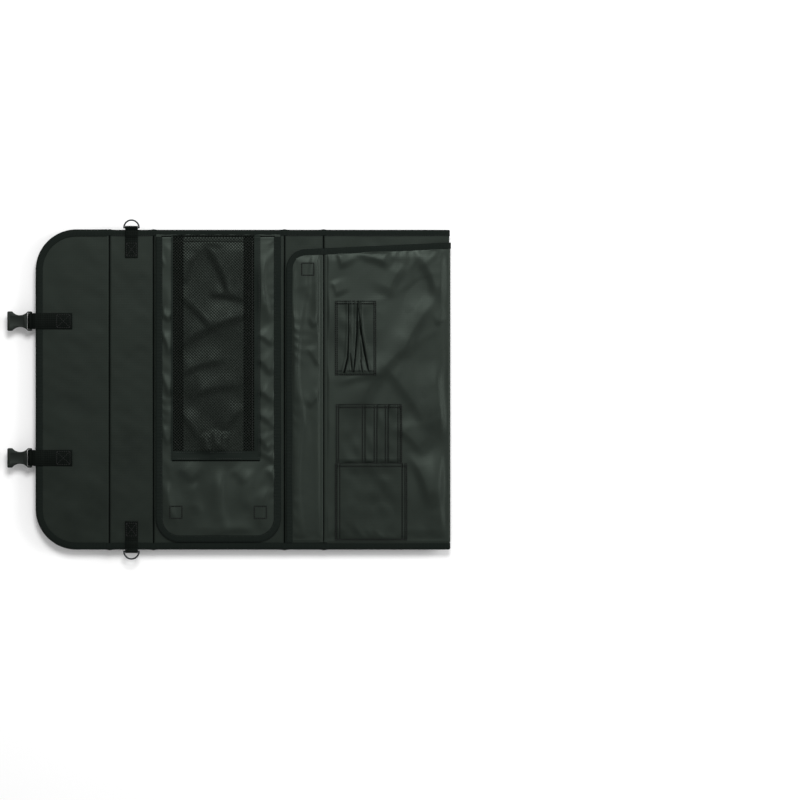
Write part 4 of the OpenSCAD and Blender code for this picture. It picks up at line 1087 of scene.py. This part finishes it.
class BuildToolPage(bpy.types.Operator):
    """Tool leaf over the front and the gusset, with its tape"""
    bl_idname = "case.build_tool_page"
    bl_label = "Tool leaf"

    def execute(self, context):
        low_y = 6 - LEAF_Y
        edge_x = evenly(TOOL_X0 + 0.5, TOOL_EDGE_END)
        strip_a, strip_b = TOOL_EDGE_END - STRIP_LAP, TOOL_X1 + STRIP_LAP
        z_tape = PLANE + LEAF_Z + LEAF_TAPE_Z

        def satin(name, columns, s_at, low, **more):
            """A stretch of the leaf from its low y to its upper side."""
            def place(u, v):
                s = s_at(u)
                x, z, angle = lip_place(s)
                y = low + (tool_high(np.minimum(x, X_LIP)) - LEAF_IN - low) * v
                up = (LEAF_LIFT + tool_relief(x, y)) * np.cos(angle)
                return x + LEAF_LIFT * np.sin(angle), y, PLANE + z + up, s, y
            return dress(grid(name, columns, 230, place), "satin_leaf", "leaf",
                         thickness=LEAF_CLOTH, angle=60, **more)
        leaf = satin("tool_leaf_cloth", 110, evenly(TOOL_X1, LIP_END), low_y,
                     body="tool_page", replaced=["tool_leaf"])
        edge = satin("tool_leaf_edge_cloth", 40, edge_x, low_y,
                     body="tool_page_edge", replaced=["tool_leaf_edge"])
        satin("tool_leaf_crease", 16, evenly(strip_a, strip_b), 1 - LEAF_Y, blend=TOOL_CREASE)

        # Painted shade: a dark strip down the valley of the leaf's crease
        def crease_line(u, v):
            x, y = X_GP + (u - 0.5) * 1.4, 2 - LEAF_Y + (tool_top(X_GP) - 11 + LEAF_Y) * v
            return x, y, PLANE + LEAF_Z + 0.75 + tool_relief(x, y), x, y
        dress(grid("tool_crease_painted_shade", 2, 120, crease_line), "shadow_cloth", "leaf",
              thickness=SEAM_CLOTH, blend=TOOL_CREASE)

        def root(u, v):
            s = evenly(TOOL_X1 - STRIP_LAP, LIP_END)(u ** 0.7)
            x, z, angle = lip_place(s)
            y = ROOT_IN - LEAF_Y - ROOT_RUN * (1 - v)
            lift = LEAF_LIFT - ROOT_DROP * smooth(0.5, 1, 1 - v)
            return x + lift * np.sin(angle), y, PLANE + z + lift * np.cos(angle), s, y
        dress(grid("tool_leaf_root", 90, 10, root), "satin_leaf", "leaf", thickness=ROOT_CLOTH,
              blend=("front_panel", "tool_page", (0, -LEAF_Y - 2, PLANE), (0, -LEAF_Y + 7, PLANE)))

        def root_edge(u, v):
            x, y = edge_x(u), 7 - LEAF_Y - 6.6 * (1 - v)
            return x, y, PLANE + LEAF_Z + LEAF_LIFT - 0.9 * smooth(0.3, 1, 1 - v), x, y
        dress(grid("tool_leaf_edge_root", 20, 8, root_edge), "satin_leaf", "leaf", "tool_page_edge",
              thickness=ROOT_CLOTH)

        corner_x = TOOL_X0 + TOOL_R
        corner_y = tool_top(corner_x) - TOOL_R
        points = [(TOOL_X0, 1 - LEAF_Y), (TOOL_X0, corner_y - 0.5)] \
            + arc(corner_x, corner_y, TOOL_R, 180, 92) + [(TOOL_EDGE_END, tool_top(TOOL_EDGE_END))]
        edge_binding = edge_tape("tool_edge_tape", points, False, z_tape, LEAF_TAPE_HALF, 3.0,
                                 bumps=False)
        dress(edge_binding, "grosgrain_tape", "binding", "tool_page_edge",
              replaced=["tool_edge_binding"], thickness=LEAF_TAPE_CLOTH)
        points = [(x, tool_top(x)) for x in (strip_a, strip_b)]
        dress(edge_tape("tool_crease_tape", points, False, z_tape, LEAF_TAPE_HALF, 0.8, bumps=False),
              "grosgrain_tape", "binding", thickness=LEAF_TAPE_CLOTH, blend=TOOL_CREASE)

        # Top tape follows the leaf down over the front's free edge
        s = np.r_[np.arange(TOOL_X1, LIP_FLAT, 4.0), np.linspace(LIP_FLAT, LIP_END, 14)]
        x, height, angle = lip_place(s)
        place = np.column_stack([x, tool_top(np.minimum(x, X_LIP)), PLANE + height + LEAF_TAPE_Z])
        inward = np.tile([TOOL_SLOPE, -1.0, 0.0], (len(s), 1))
        inward[angle > 0] = [0, -1, 0]
        up = np.column_stack([np.sin(angle), 0 * s, np.cos(angle)])
        section = tape_section(sizes().tape / MM, LEAF_TAPE_HALF)
        tape = sweep("tool_leaf_tape", place, inward, up, s, section)
        dress(tape, "grosgrain_tape", "binding", "tool_page", replaced=["tool_leaf_binding"],
              thickness=LEAF_TAPE_CLOTH)
        return {"FINISHED"}


# Sewn pockets
POCKET_CLOTH = 0.6
# Pleats of the slot pocket from its top down, as shares of its width and height, with their widths
SLOT_PLEATS = (
    ((0.33, 0.97, 1.2), (0.335, 0.6, 1.4), (0.31, 0.25, 1.8), (0.22, 0.04, 2.4)),
    ((0.54, 0.97, 1.2), (0.53, 0.55, 1.8), (0.49, 0.25, 1.4), (0.45, 0.05, 1.4)),
    ((0.57, 0.9, 0.8), (0.63, 0.6, 2.2), (0.72, 0.3, 2.6), (0.81, 0.06, 1.4)),
    ((0.37, 0.3, 0.8), (0.42, 0.05, 1.4)),
    ((0.62, 0.22, 0.8), (0.66, 0.05, 1.2)))
# For each pocket: its sides from the front's crease, its foot and top, its upright seams from the
# crease, how far it puffs out and gapes, its cross seams over its foot, and its pleats
POCKETS = {
    "pocket_slots": (17.5, 82, 21, 139, (21, 78.5), 0.9, 1.2, (2.2, 8), SLOT_PLEATS),
    "pocket_cards": (19, 122.5, -116, -23, (23, 60.5, 64.5, 79, 83, 96.5, 100.5, 116, 119.5),
                     0.9, 1.2, (), ()),
    "pocket_wide": (17.5, 130.5, 3 - LEAF_Y, -115, (20.5, 25, 122.5, 127), 1.2, 1.4, (2.2,), ()),
}


def pleat_at(line, y):
    """Middle and width of a pleat at y."""
    x_at, y_at, wide_at = np.array(line).T[:, ::-1]
    return np.interp(y, y_at, x_at), np.interp(y, y_at, wide_at)


def pocket_height(x, y, x0, x1, y0, y1, seams, puff, lip, pleats):
    """Height of a pocket that lies in channels between its seams and gapes at its open top."""
    lines = np.array([x0] + seams + [x1])
    k = np.clip(np.searchsorted(lines, x, side="right") - 1, 0, len(lines) - 2)
    wide = lines[k + 1] - lines[k]
    t = (x - lines[k]) / np.maximum(wide, 0.1)
    channel = np.clip(4 * t * (1 - t), 0, 1) ** 0.6 * np.clip(wide / 14, 0, 1)
    ends = smooth(0, 5, y - y0)
    gape = lip * smooth(y1 - 22, y1, y) * channel
    soft = 0.25 * ripple(x, y, 51, 24)
    sewn_down = 0.85 - 0.7 * (1 - smooth(1, 8, y - y0))
    sewn_down = sewn_down + 0.45 * smooth(1, 2, y1 - y) * (1 - smooth(4, 5.2, y1 - y))
    z = PLANE + LEAF_Z + LEAF_CLOTH + tool_relief(x, y) + sewn_down
    z = z + ends * channel * (puff + soft) + gape
    for line in pleats:
        middle, wide = pleat_at(line, y)
        off, foot = x - middle, line[-1][1]
        ridges = 1.1 * bell(off - wide / 2 - 1.8, 2.0) + 0.8 * bell(off + wide / 2 + 1.8, 2.0)
        z = z + smooth(foot - 4, foot + 2, y) * (ridges - 0.9 * bell(off, 0.5 + wide / 2))
    return z


class BuildToolPockets(bpy.types.Operator):
    """Slot, card and wide pockets sewn on the tool leaf"""
    bl_idname = "case.build_tool_pockets"
    bl_label = "Tool pockets"

    def execute(self, context):
        for name, (a, b, y0, y1, seams, puff, lip, cross, pleats) in POCKETS.items():
            x0, x1 = X_GP + a, X_GP + b
            seams = [X_GP + seam for seam in seams]
            pleats = [[(x0 + (x1 - x0) * pu, y0 + (y1 - y0) * pv, wide) for pu, pv, wide in line]
                      for line in pleats]

            def on_cloth(x, y):
                return pocket_height(x, y, x0, x1, y0, y1, seams, puff, lip, pleats)

            def place(u, v):
                x, y = x0 + (x1 - x0) * u, y0 + (y1 - y0) * v
                return x, y, on_cloth(x, y), x, y
            dress(grid(name, int(b - a), 80, place), "pocket_nylon", "pocket", "tool_page",
                  thickness=POCKET_CLOTH, angle=60,
                  replaced=["tool_pockets"] if name == "pocket_slots" else [])
            lines = [[(x, y0 + 1), (x, y1 - 1)] for x in (x0 + 0.9, x1 - 0.9, *seams)]
            lines += [[(x0 + 1, y), (x1 - 1, y)] for y in (y1 - 1, y1 - 5, *(y0 + up for up in cross))]
            # Painted shade of the sewn valleys under the pocket's seams
            seam_shade_lines(name + "_seams", lines, on_cloth, "tool_page", "pocket")
            stitches(name + "_stitches", lines, lambda x, y: on_cloth(x, y) + 0.42, "tool_page",
                     "sewing_thread", "pocket")
            # Painted shade: dark slivers in the inner folds of the pleats
            pleat_fold_shades = []
            for line in pleats:
                def pleat_fold_shade(u, v):
                    y = line[-1][1] + (line[0][1] - line[-1][1]) * v
                    middle, wide = pleat_at(line, y)
                    x = middle + (u - 0.5) * wide
                    return x, y, on_cloth(x, y) + 0.3, x, y
                pleat_fold_shades.append(grid("pleat_fold_shade", 4, 50, pleat_fold_shade))
            if pleat_fold_shades:
                dress(join(name + "_pleats_painted_shade", pleat_fold_shades), "shadow_cloth", "pocket", "tool_page",
                      thickness=SEAM_CLOTH)
        return {"FINISHED"}


class BuildHiddenLayers(bpy.types.Operator):
    """Blade sleeve, elastic strap and fastener patches under the leaves"""
    bl_idname = "case.build_hidden_layers"
    bl_label = "Layers under the leaves"

    def execute(self, context):
        for node, slots, rows in (("blade_sleeve", 5, 60), ("elastic_strap", 6, 16)):
            (x0, x1), (y0, y1), (z0, _) = (span(node, axis) for axis in range(3))

            def channels(u, v):
                x, y = x0 + (x1 - x0) * u, y0 + (y1 - y0) * v
                channel = np.abs(np.sin(u * slots * math.pi)) ** 0.5
                return x, y, z0 + 0.35 + 0.65 * channel, x, y
            dress(grid(node + "_cloth", slots * 14, rows, channels), "pocket_nylon", "pocket",
                  "back_panel", replaced=[node], thickness=0.5)
        half = 10
        patches = (("back_loop_patches", "back_panel", 1), ("knife_hook_patches", "knife_page", -1),
                   ("gusset_loop_patch", "bottom_gusset", 1), ("tool_hook_patch", "tool_page_edge", -1))
        for node, body, side in patches:
            (x0, x1), (y0, y1), (z0, z1) = (span(node, axis) for axis in range(3))
            face = z1 if side > 0 else z0
            made = []
            for middle in [x0 + half] if x1 - x0 < 3 * half else [x0 + half, x1 - half]:
                def pile(u, v):
                    v = v if side > 0 else 1 - v
                    x, y = middle + half * (2 * u - 1), y0 + (y1 - y0) * v
                    edge = np.minimum(np.minimum(u, 1 - u), np.minimum(v, 1 - v))
                    loops = 0.12 * ripple(x, y, 61, 1.6) * smooth(0, 0.1, edge)
                    return x, y, face + side * (loops - 0.08), x, y
                made.append(grid("patch", 40, 40, pile))
            dress(join(node + "_pile", made), "fastener_pile", "fastener", body, replaced=[node],
                  thickness=0.45)
        return {"FINISHED"}


# Webbing
WEB = 1.1  # thickness of the webbing
LAYERS = (0.6, 1.8)  # heights of a tab's two layers over the lining
TAPE_STEP = 0.8  # how far they step up over the binding tape


def webbing_section(width, thickness):
    """Flat woven strap in section, with rounded selvedges, as a closed loop."""
    h, w, r = thickness / 2, width / 2, thickness / 2
    upper = [(w - r, h), (w * 0.5, h + 0.06), (0, h), (-w * 0.5, h + 0.06), (-w + r, h)]
    left = [(-w + r * 0.35, h * 0.75), (-w, 0), (-w + r * 0.35, -h * 0.75)]
    lower = [(-w + r, -h), (0, -h), (w - r, -h)]
    right = [(w - r * 0.35, -h * 0.75), (w, 0), (w - r * 0.35, h * 0.75)]
    loop = upper + left + lower + right
    return np.array(loop + loop[:1])


def strap(name, points, middle, width, axis="y", step=2.0):
    """A strap whose middle line runs through (along, z) points, its width along Y, or along X."""
    out, tangent, s = plan_points(points, step)
    zero = np.zeros(len(s))
    if axis == "y":
        place = np.column_stack([out[:, 0], zero + middle, out[:, 1]])
        up = np.column_stack([-tangent[:, 1], zero, tangent[:, 0]])
        inward = np.tile([0.0, 1.0, 0.0], (len(s), 1))
    else:
        place = np.column_stack([zero + middle, out[:, 0], out[:, 1]])
        up = np.column_stack([zero, -tangent[:, 1], tangent[:, 0]])
        inward = np.tile([1.0, 0.0, 0.0], (len(s), 1))
    piece = sweep(name, place, inward, up, s, webbing_section(width, WEB))
    edit(piece, lambda: bpy.ops.mesh.remove_doubles(threshold=0.02 * MM),
         lambda: bpy.ops.mesh.select_all(action="DESELECT"),
         lambda: bpy.ops.mesh.select_non_manifold(),
         lambda: bpy.ops.mesh.edge_face_add())
    return piece


def tab_lines(edge, inward, length, past):
    """The middle lines of a tab's two layers, which step up over the tape and end past the edge."""
    lines = []
    for lift in LAYERS:
        low = PLANE + HALF + lift
        high = low + TAPE_STEP
        lines.append([(edge + inward * length, low), (edge + inward * 12.5, low),
                      (edge + inward * 9.5, high), (edge - inward * past, high)])
    return lines


class BuildWebbing(bpy.types.Operator):
    """Woven tabs, straps and loops"""
    bl_idname = "case.build_webbing"
    bl_label = "Webbing"

    def execute(self, context):
        width = sizes().webbing / MM
        sides = (("left", -BUCKLE_Y), ("right", BUCKLE_Y))

        def finish(piece, **more):
            dress(piece, "woven_webbing", "webbing", **more)

        # Tabs of the sockets, and the loops that hold the sockets' bars
        finish(join("socket_tab_webbing", [
            strap("tab", line, y, width) for _, y in sides for line in tab_lines(X_FLAP, 1, 57, 0.6)]),
            body="flap_panel", replaced=["socket_tabs"])
        bar_x, bar_z, stretch = X_FLAP - 6 - 2.2, PLANE - 0.3, 1.55
        low, high = (PLANE + HALF + TAPE_STEP + lift for lift in LAYERS)
        loop = [(bar_x + (x - bar_x) * stretch, z) for x, z in arc(bar_x, bar_z, 2.8, 80, 300, 20)]
        points = [(X_FLAP - 0.2, high), (X_FLAP - 3.5, PLANE + HALF + 2.0)] + loop \
            + [(X_FLAP - 4.6, PLANE + 0.6), (X_FLAP - 0.2, low)]
        for side, y in sides:
            finish(strap("socket_loop_" + side, points, y, width, step=0.7),
                   replaced=["socket_web_" + side],
                   blend=("flap_panel", "buckle_socket_" + side, (X_FLAP - 0.2, 0, PLANE),
                          (X_FLAP - 3.5, 0, PLANE)))

        # Tabs and loops of the hanging rings
        ring_y, (ring_z0, ring_z1) = span("dring_right", 1)[0], span("dring_right", 2)
        wire = (ring_z1 - ring_z0) / 2
        tab_x0, tab_x1 = span("dring_tabs", 0)
        rings = []
        for side in (-1, 1):
            edge, bar = side * END, side * (ring_y + wire)
            for line in tab_lines(edge, -side, 44, 0.2):
                rings.append(strap("tab", line, X_HANDLE, tab_x1 - tab_x0, "x"))
            turn = (90, -90) if side > 0 else (90, 270)
            start = edge - side * 0.4
            points = [(start, PLANE + 4.6)] + arc(bar, PLANE + 4.0, wire + 0.8, *turn, 20) \
                + [(start, PLANE + 3.4)]
            rings.append(strap("loop", points, X_HANDLE, tab_x1 - tab_x0, "x", 0.7))
        finish(join("hanging_ring_webbing", rings), body="top_panel", replaced=["dring_tabs"])

        # Straps sewn under the gusset and the front, and a piece of strap over the crease between them
        z = PLANE - HALF - 0.6
        gusset, front = [], []
        for side, y in sides:
            gusset.append(strap("run", [(X_BG + 8, z), (X_GP - CREASE, z)], y, width))
            front.append(strap("run", [(X_GP + CREASE, z), (X_GP + 14.5, z)], y, width))
            lap = CREASE + STRIP_LAP
            finish(strap("strap_crease_" + side, [(X_GP - lap, z), (X_GP + lap, z)], y, width, step=0.6),
                   blend=across_crease("front"))
        finish(join("gusset_strap_webbing", gusset), body="bottom_gusset", replaced=["gusset_straps"])
        finish(join("front_strap_webbing", front), body="front_panel", replaced=["front_straps"])

        # Straps of the plugs: up through one slot of the ladder lock, down the other and back
        run_z = PLANE - HALF - 0.8
        tail_z = run_z - 1.4
        round_in = 0.8
        for side, y in sides:
            node = "plug_strap_" + side
            top = span(node, 2)[0] + 0.6
            far = span(node, 0)[1] - 0.6
            near = far - 6.2
            points = [(X_GP + 14.0, z), (X_GP + 19, run_z), (far - round_in, run_z),
                      (far, run_z - round_in), (far, top + round_in), (far - round_in, top),
                      (near + round_in, top), (near, top + round_in), (near, tail_z - round_in),
                      (near - round_in, tail_z), (X_GP + 18.4, tail_z)]
            finish(strap("plug_strap_webbing_" + side, points, y, width, step=0.5), replaced=[node],
                   blend=("front_panel", "buckle_plug_" + side, (X_GP + 14.5, 0, PLANE),
                          (X_GP + 20, 0, PLANE)))
        return {"FINISHED"}


class BuildPiping(bpy.types.Operator):
    """Corded piping on the front, broken by the straps"""
    bl_idname = "case.build_piping"
    bl_label = "Piping"

    def execute(self, context):
        x0, z0 = X_GP + 14, PLANE - HALF
        gap = 13.5  # from a strap's middle to where the cord stops
        edge, inner = BUCKLE_Y + gap, BUCKLE_Y - gap
        cord = [(2.9 * math.cos(a), 3.0 * math.sin(a)) for a in np.radians(np.linspace(0, 180, 15))]
        section = np.array([(4.6, 0.05), (4.6, 0.5), (3.3, 0.6)] + cord[1:] + [(-3.1, 0.05)])
        runs = []
        for ya, yb in ((-END + 10, -edge), (-inner, inner), (edge, END - 10)):
            out, _, s = plan_points([(x0, ya), (x0, yb)], 3.0)
            wave = 0.25 * np.sin(s / 23.0) + 0.12 * np.sin(s / 7.0)
            place = np.column_stack([out[:, 0] + wave, out[:, 1], np.full(len(s), z0)])
            inward = np.tile([1.0, 0.0, 0.0], (len(s), 1))
            up = np.tile([0.0, 0.0, -1.0], (len(s), 1))
            piece = sweep("run", place, inward, up, s, section)
            edit(piece, lambda: bpy.ops.mesh.select_all(action="DESELECT"),
                 lambda: bpy.ops.mesh.select_non_manifold(),
                 lambda: bpy.ops.mesh.fill_holes(sides=0))
            runs.append(piece)
        dress(join("corded_piping", runs), "piping_twill", "piping", "front_panel",
              replaced=["piping"], angle=40)
        return {"FINISHED"}


# Handle, buckles and rings
def rounded_copy(node, name, width, material, body, segments=2):
    """A copy of a CAD node with its edges rounded, which then stands for it."""
    piece = bpy.data.objects.new(name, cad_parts[node].data.copy())
    bpy.context.collection.objects.link(piece)
    edit(piece, lambda: bpy.ops.mesh.remove_doubles(threshold=0.005 * MM),
         lambda: bpy.ops.mesh.dissolve_limited(angle_limit=math.radians(1.0)))
    edge = piece.modifiers.new("edges", "BEVEL")
    edge.width = width * MM
    edge.segments = segments
    edge.limit_method = "ANGLE"
    edge.angle_limit = math.radians(30)
    edge.use_clamp_overlap = True
    apply_all(piece)
    coat(piece, material, 40, [node])
    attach(piece, body)


class BuildHandle(bpy.types.Operator):
    """Strap and sleeve of the handle"""
    bl_idname = "case.build_handle"
    bl_label = "Handle"

    def execute(self, context):
        rounded_copy("handle_core", "handle_strap", 0.9, "bonded_strap", "handle_grip", 3)
        (x0, x1), (y0, y1), (z0, _) = (span("handle_sleeve", axis) for axis in range(3))
        # The sleeve is a flattened tube of this half-thickness, bent on the grip's radius
        tube, radius = 5.6, 536.3
        centre_z = z0 + tube + radius
        bend = math.asin(((y1 - y0) / 2 - 0.6) / radius)
        flat = (x1 - x0 - 2 * tube) / 2
        count = 28

        def place(u, v):
            turn = (2 * u - 1) * bend
            a = math.tau * np.rint(v * count) / count
            near = np.minimum(u, 1 - u)
            ribs = 0.012 * np.sin(turn * radius / 1.9) * bell(near, 0.12)
            puff = 1.0 + 0.02 * np.sin(u * math.pi) + ribs
            r = (3.6 + 1.0 * smooth(0, 0.03, near)) * puff
            seam = 0.5 * bell(np.cos(a) + 1, 0.02)
            radial = radius - (r - seam) * np.cos(a)
            x = X_HANDLE + np.sin(a) * r + flat * np.clip(np.sin(a) * 3, -1, 1)
            y, z = (y0 + y1) / 2 + radial * np.sin(turn), centre_z - radial * np.cos(turn)
            return x, y, z, turn * radius, a * tube
        piece = grid("handle_sleeve_cover", 120, count, place)
        edit(piece, lambda: bpy.ops.mesh.remove_doubles(threshold=0.01 * MM))
        dress(piece, "sleeve_rubber", "grip", "handle_grip", replaced=["handle_sleeve"], angle=50,
              thickness=0.9)
        return {"FINISHED"}


class BuildBuckles(bpy.types.Operator):
    """Socket and plug halves with softened edges"""
    bl_idname = "case.build_buckles"
    bl_label = "Buckles"

    def execute(self, context):
        for side in ("left", "right"):
            for half in ("socket_", "plug_"):
                rounded_copy(half + side, "buckle_" + half + "shell_" + side, 0.5, "matt_acetal",
                             "buckle_" + half + side)
            for which in "ab":
                arm = "arm_%s_%s" % (side, which)
                rounded_copy(arm, "buckle_" + arm, 0.3, "matt_acetal", "plug_" + arm)
        return {"FINISHED"}


CARRIED = {
    "painted_wire": ["ring_left", "ring_right", "dring_left", "dring_right", "handle_brackets"],
    "blackened_steel": ["handle_rivets"],
    "grey_board": ["flap_board", "top_board", "back_board", "gusset_board", "front_board"],
}


class PaintMetal(bpy.types.Operator):
    """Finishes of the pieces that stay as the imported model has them"""
    bl_idname = "case.paint_metal"
    bl_label = "Metal and boards"

    def execute(self, context):
        for material, nodes in CARRIED.items():
            for node in nodes:
                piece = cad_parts[node]
                if not piece.material_slots:
                    piece.data.materials.append(MATERIALS[material])
                for place in piece.material_slots:
                    place.material = MATERIALS[material]
        return {"FINISHED"}


class BuildStitching(bpy.types.Operator):
    """Stitched squares, boxes and hem rows"""
    bl_idname = "case.build_stitching"
    bl_label = "Stitching"

    def execute(self, context):
        # Squares over the hook patches, with painted shade of a sewn valley under each row
        knives = box_line(X_TB + 35, -192, 9.5, 9.5) + box_line(X_TB + 167, -192, 9.5, 9.5)
        tools = box_line(X_BG + 36, END - 62, 9.5, 9.5)
        for threads, seams, lines, relief, body in (
                ("stitched_squares", "square_seams", knives, knife_relief, "knife_page"),
                ("stitched_square_edge", "square_seam_shade_edge", tools, tool_relief, "tool_page_edge")):
            def on_leaf(x, y):
                return PLANE + LEAF_Z + 0.45 + relief(x, y)
            stitches(threads, lines, lambda x, y: on_leaf(x, y) + 0.35, body)
            seam_shade_lines(seams, lines, on_leaf, body, "leaf")

        # Rows along the tapes
        stitches("knife_tape_stitches", [knife_outline(STITCH_IN, LEAF_Y - 9)],
                 level(PLANE + LEAF_Z + 1.42), "knife_page", "dark_thread", "binding")
        rows = {"flap": ([flap_outline(STITCH_IN)], "flap_panel")}
        row_y = (STITCH_IN - END, END - STITCH_IN)
        for key, (x0, x1, body) in PANELS.items():
            rows[key] = [[(x0 + CREASE, y), (x1 - CREASE, y)] for y in row_y], body
        rows["front"] = [[(X_GP + CREASE, y), (X_NOSE - HALF, y)] for y in row_y], "front_panel"
        sunk = TAPE_HALF - 0.02
        for key, (lines, body) in rows.items():
            for face, z in (("inside", PLANE + sunk), ("outside", PLANE - sunk)):
                stitches("binding_stitches_%s_%s" % (key, face), lines, level(z), body,
                         "dark_thread", "binding")

        # Crossed boxes on the tabs and straps
        on_tab = PLANE + HALF + 2.42
        for name, x, y, half_x, z, body in (
                ("socket_tab", X_FLAP + 43, BUCKLE_Y, 10.5, on_tab, "flap_panel"),
                ("ring_tab", X_HANDLE, END - 31, 8, on_tab, "top_panel"),
                ("gusset_strap", X_BG + 21, BUCKLE_Y, 10, PLANE - HALF - 1.2, "bottom_gusset")):
            boxes = box_line(x, -y, half_x, 10, cross=True) + box_line(x, y, half_x, 10, cross=True)
            stitches(name + "_stitches", boxes, level(z), body, "dark_thread", "webbing")

        # Rows along the net's hem and side tape
        x0, x1, y0, y1 = NET
        top = y0 + HEM - 1.8
        lines = [[(x0 + 2, y0 + 2), (x1 - 2, y0 + 2)], [(x0 + 2, top), (x1 - HEM, top)],
                 [(x1 - 2, y0 + 2), (x1 - 2, y1)], [(x1 - HEM + 1.6, y0 + HEM), (x1 - HEM + 1.6, y1)]]
        stitches("net_tape_stitches", lines,
                 lambda x, y: PLANE + LEAF_Z + 1.55 + knife_relief(x, y) + net_lift(x, y),
                 "knife_page", "sewing_thread", "mesh")
        return {"FINISHED"}


# Stage: the photograph is 800 pixels square, and the case's middle stands off the picture's
PIXELS = 800
PIXEL = 1.573  # size of a pixel on the case, in millimetres
MIDDLE_X, MIDDLE_Y = 229.1, 389.5


class BuildStage(bpy.types.Operator):
    """Floor, lamps and the camera straight above the case"""
    bl_idname = "case.build_stage"
    bl_label = "Stage"

    def execute(self, context):
        scene = context.scene
        bpy.ops.object.select_all(action="DESELECT")
        bpy.ops.mesh.primitive_plane_add(size=14, location=(0, 0, 0))
        floor = context.object
        floor.name = "floor"
        # White paper, barely mottled
        material = new_material("pale_floor")
        place = add(material, "ShaderNodeTexCoord").outputs["Object"]
        mottle = add(material, "ShaderNodeTexNoise", {"Scale": 3.0, "Detail": 2.0}, {"Vector": place})
        tone = add(material, "ShaderNodeMix", {
            "data_type": "RGBA", 6: colour_4(colours().floor, 0.985), 7: colour_4(colours().floor)},
            {0: mottle.outputs["Fac"]})
        finish_material(material, {"Roughness": 0.9, "Specular IOR Level": 0.1},
                        {"Base Color": tone.outputs[2]})
        floor.data.materials.append(material)

        # The world is white to the camera and dimmer as light
        world = bpy.data.worlds.new("studio")
        scene.world = world
        world.use_nodes = True
        world.node_tree.nodes.clear()
        dim = add(world, "ShaderNodeBackground", {"Color": (1, 1, 1, 1), "Strength": 0.55})
        white = add(world, "ShaderNodeBackground", {"Color": (1, 1, 1, 1), "Strength": 1.0})
        ray = add(world, "ShaderNodeLightPath")
        mix = add(world, "ShaderNodeMixShader", None, {
            0: ray.outputs["Is Camera Ray"], 1: dim.outputs[0], 2: white.outputs[0]})
        add(world, "ShaderNodeOutputWorld", None, {"Surface": mix.outputs[0]})

        lamps = (("key_lamp", (0.15, 1.3, 2.5), 0.9, 48), ("fill_lamp", (2.3, 0.4, 1.5), 1.1, 27))
        for name, place, size, power in lamps:
            light = bpy.data.lights.new(name, "AREA")
            light.size = size
            light.energy = power
            lamp = bpy.data.objects.new(name, light)
            lamp.location = place
            lamp.rotation_euler = (-Vector(place)).to_track_quat("-Z", "Y").to_euler()
            scene.collection.objects.link(lamp)

        distance = 4.0
        lens = bpy.data.cameras.new("camera")
        lens.sensor_width = 36
        lens.lens = lens.sensor_width * distance / (PIXELS * PIXEL * MM)
        lens.shift_x = 0.5 - MIDDLE_X / PIXELS
        lens.shift_y = MIDDLE_Y / PIXELS - 0.5
        lens.clip_end = 50
        camera = bpy.data.objects.new("camera", lens)
        camera.location = (0, 0, distance)
        scene.collection.objects.link(camera)
        scene.camera = camera
        scene.view_settings.view_transform = "Standard"
        return {"FINISHED"}


class CasePanel(bpy.types.Panel):
    """The case's sizes, colours and pieces"""
    bl_idname = "VIEW3D_PT_knife_case"
    bl_label = "Knife case"
    bl_space_type = "VIEW_3D"
    bl_region_type = "UI"
    bl_category = "Knife case"

    def draw(self, context):
        column = self.layout.column()
        for group in (context.scene.case_sizes, context.scene.case_colours):
            for key in group.__annotations__:
                column.prop(group, key)
        for step in STEPS:
            column.operator(step.bl_idname)


STEPS = (BuildStage, BuildShell, BuildLining, BuildBinding, BuildKnifePage, BuildNet, BuildToolPage,
         BuildToolPockets, BuildHiddenLayers, BuildWebbing, BuildPiping, BuildHandle, BuildBuckles,
         PaintMetal, BuildStitching)
CLASSES = (CaseColours, CaseSizes) + STEPS + (CasePanel,)


def register():
    """Registers the classes and hangs the two groups of settings on the scene."""
    for made in CLASSES:
        bpy.utils.register_class(made)
    bpy.types.Scene.case_colours = PointerProperty(type=CaseColours)
    bpy.types.Scene.case_sizes = PointerProperty(type=CaseSizes)


def unregister():
    """Takes away what register adds."""
    del bpy.types.Scene.case_sizes
    del bpy.types.Scene.case_colours
    for made in reversed(CLASSES):
        bpy.utils.unregister_class(made)


def main():
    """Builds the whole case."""
    register()
    make_materials()
    for step in STEPS:
        group, name = step.bl_idname.split(".")
        getattr(getattr(bpy.ops, group), name)()


if __name__ == "__main__":
    main()
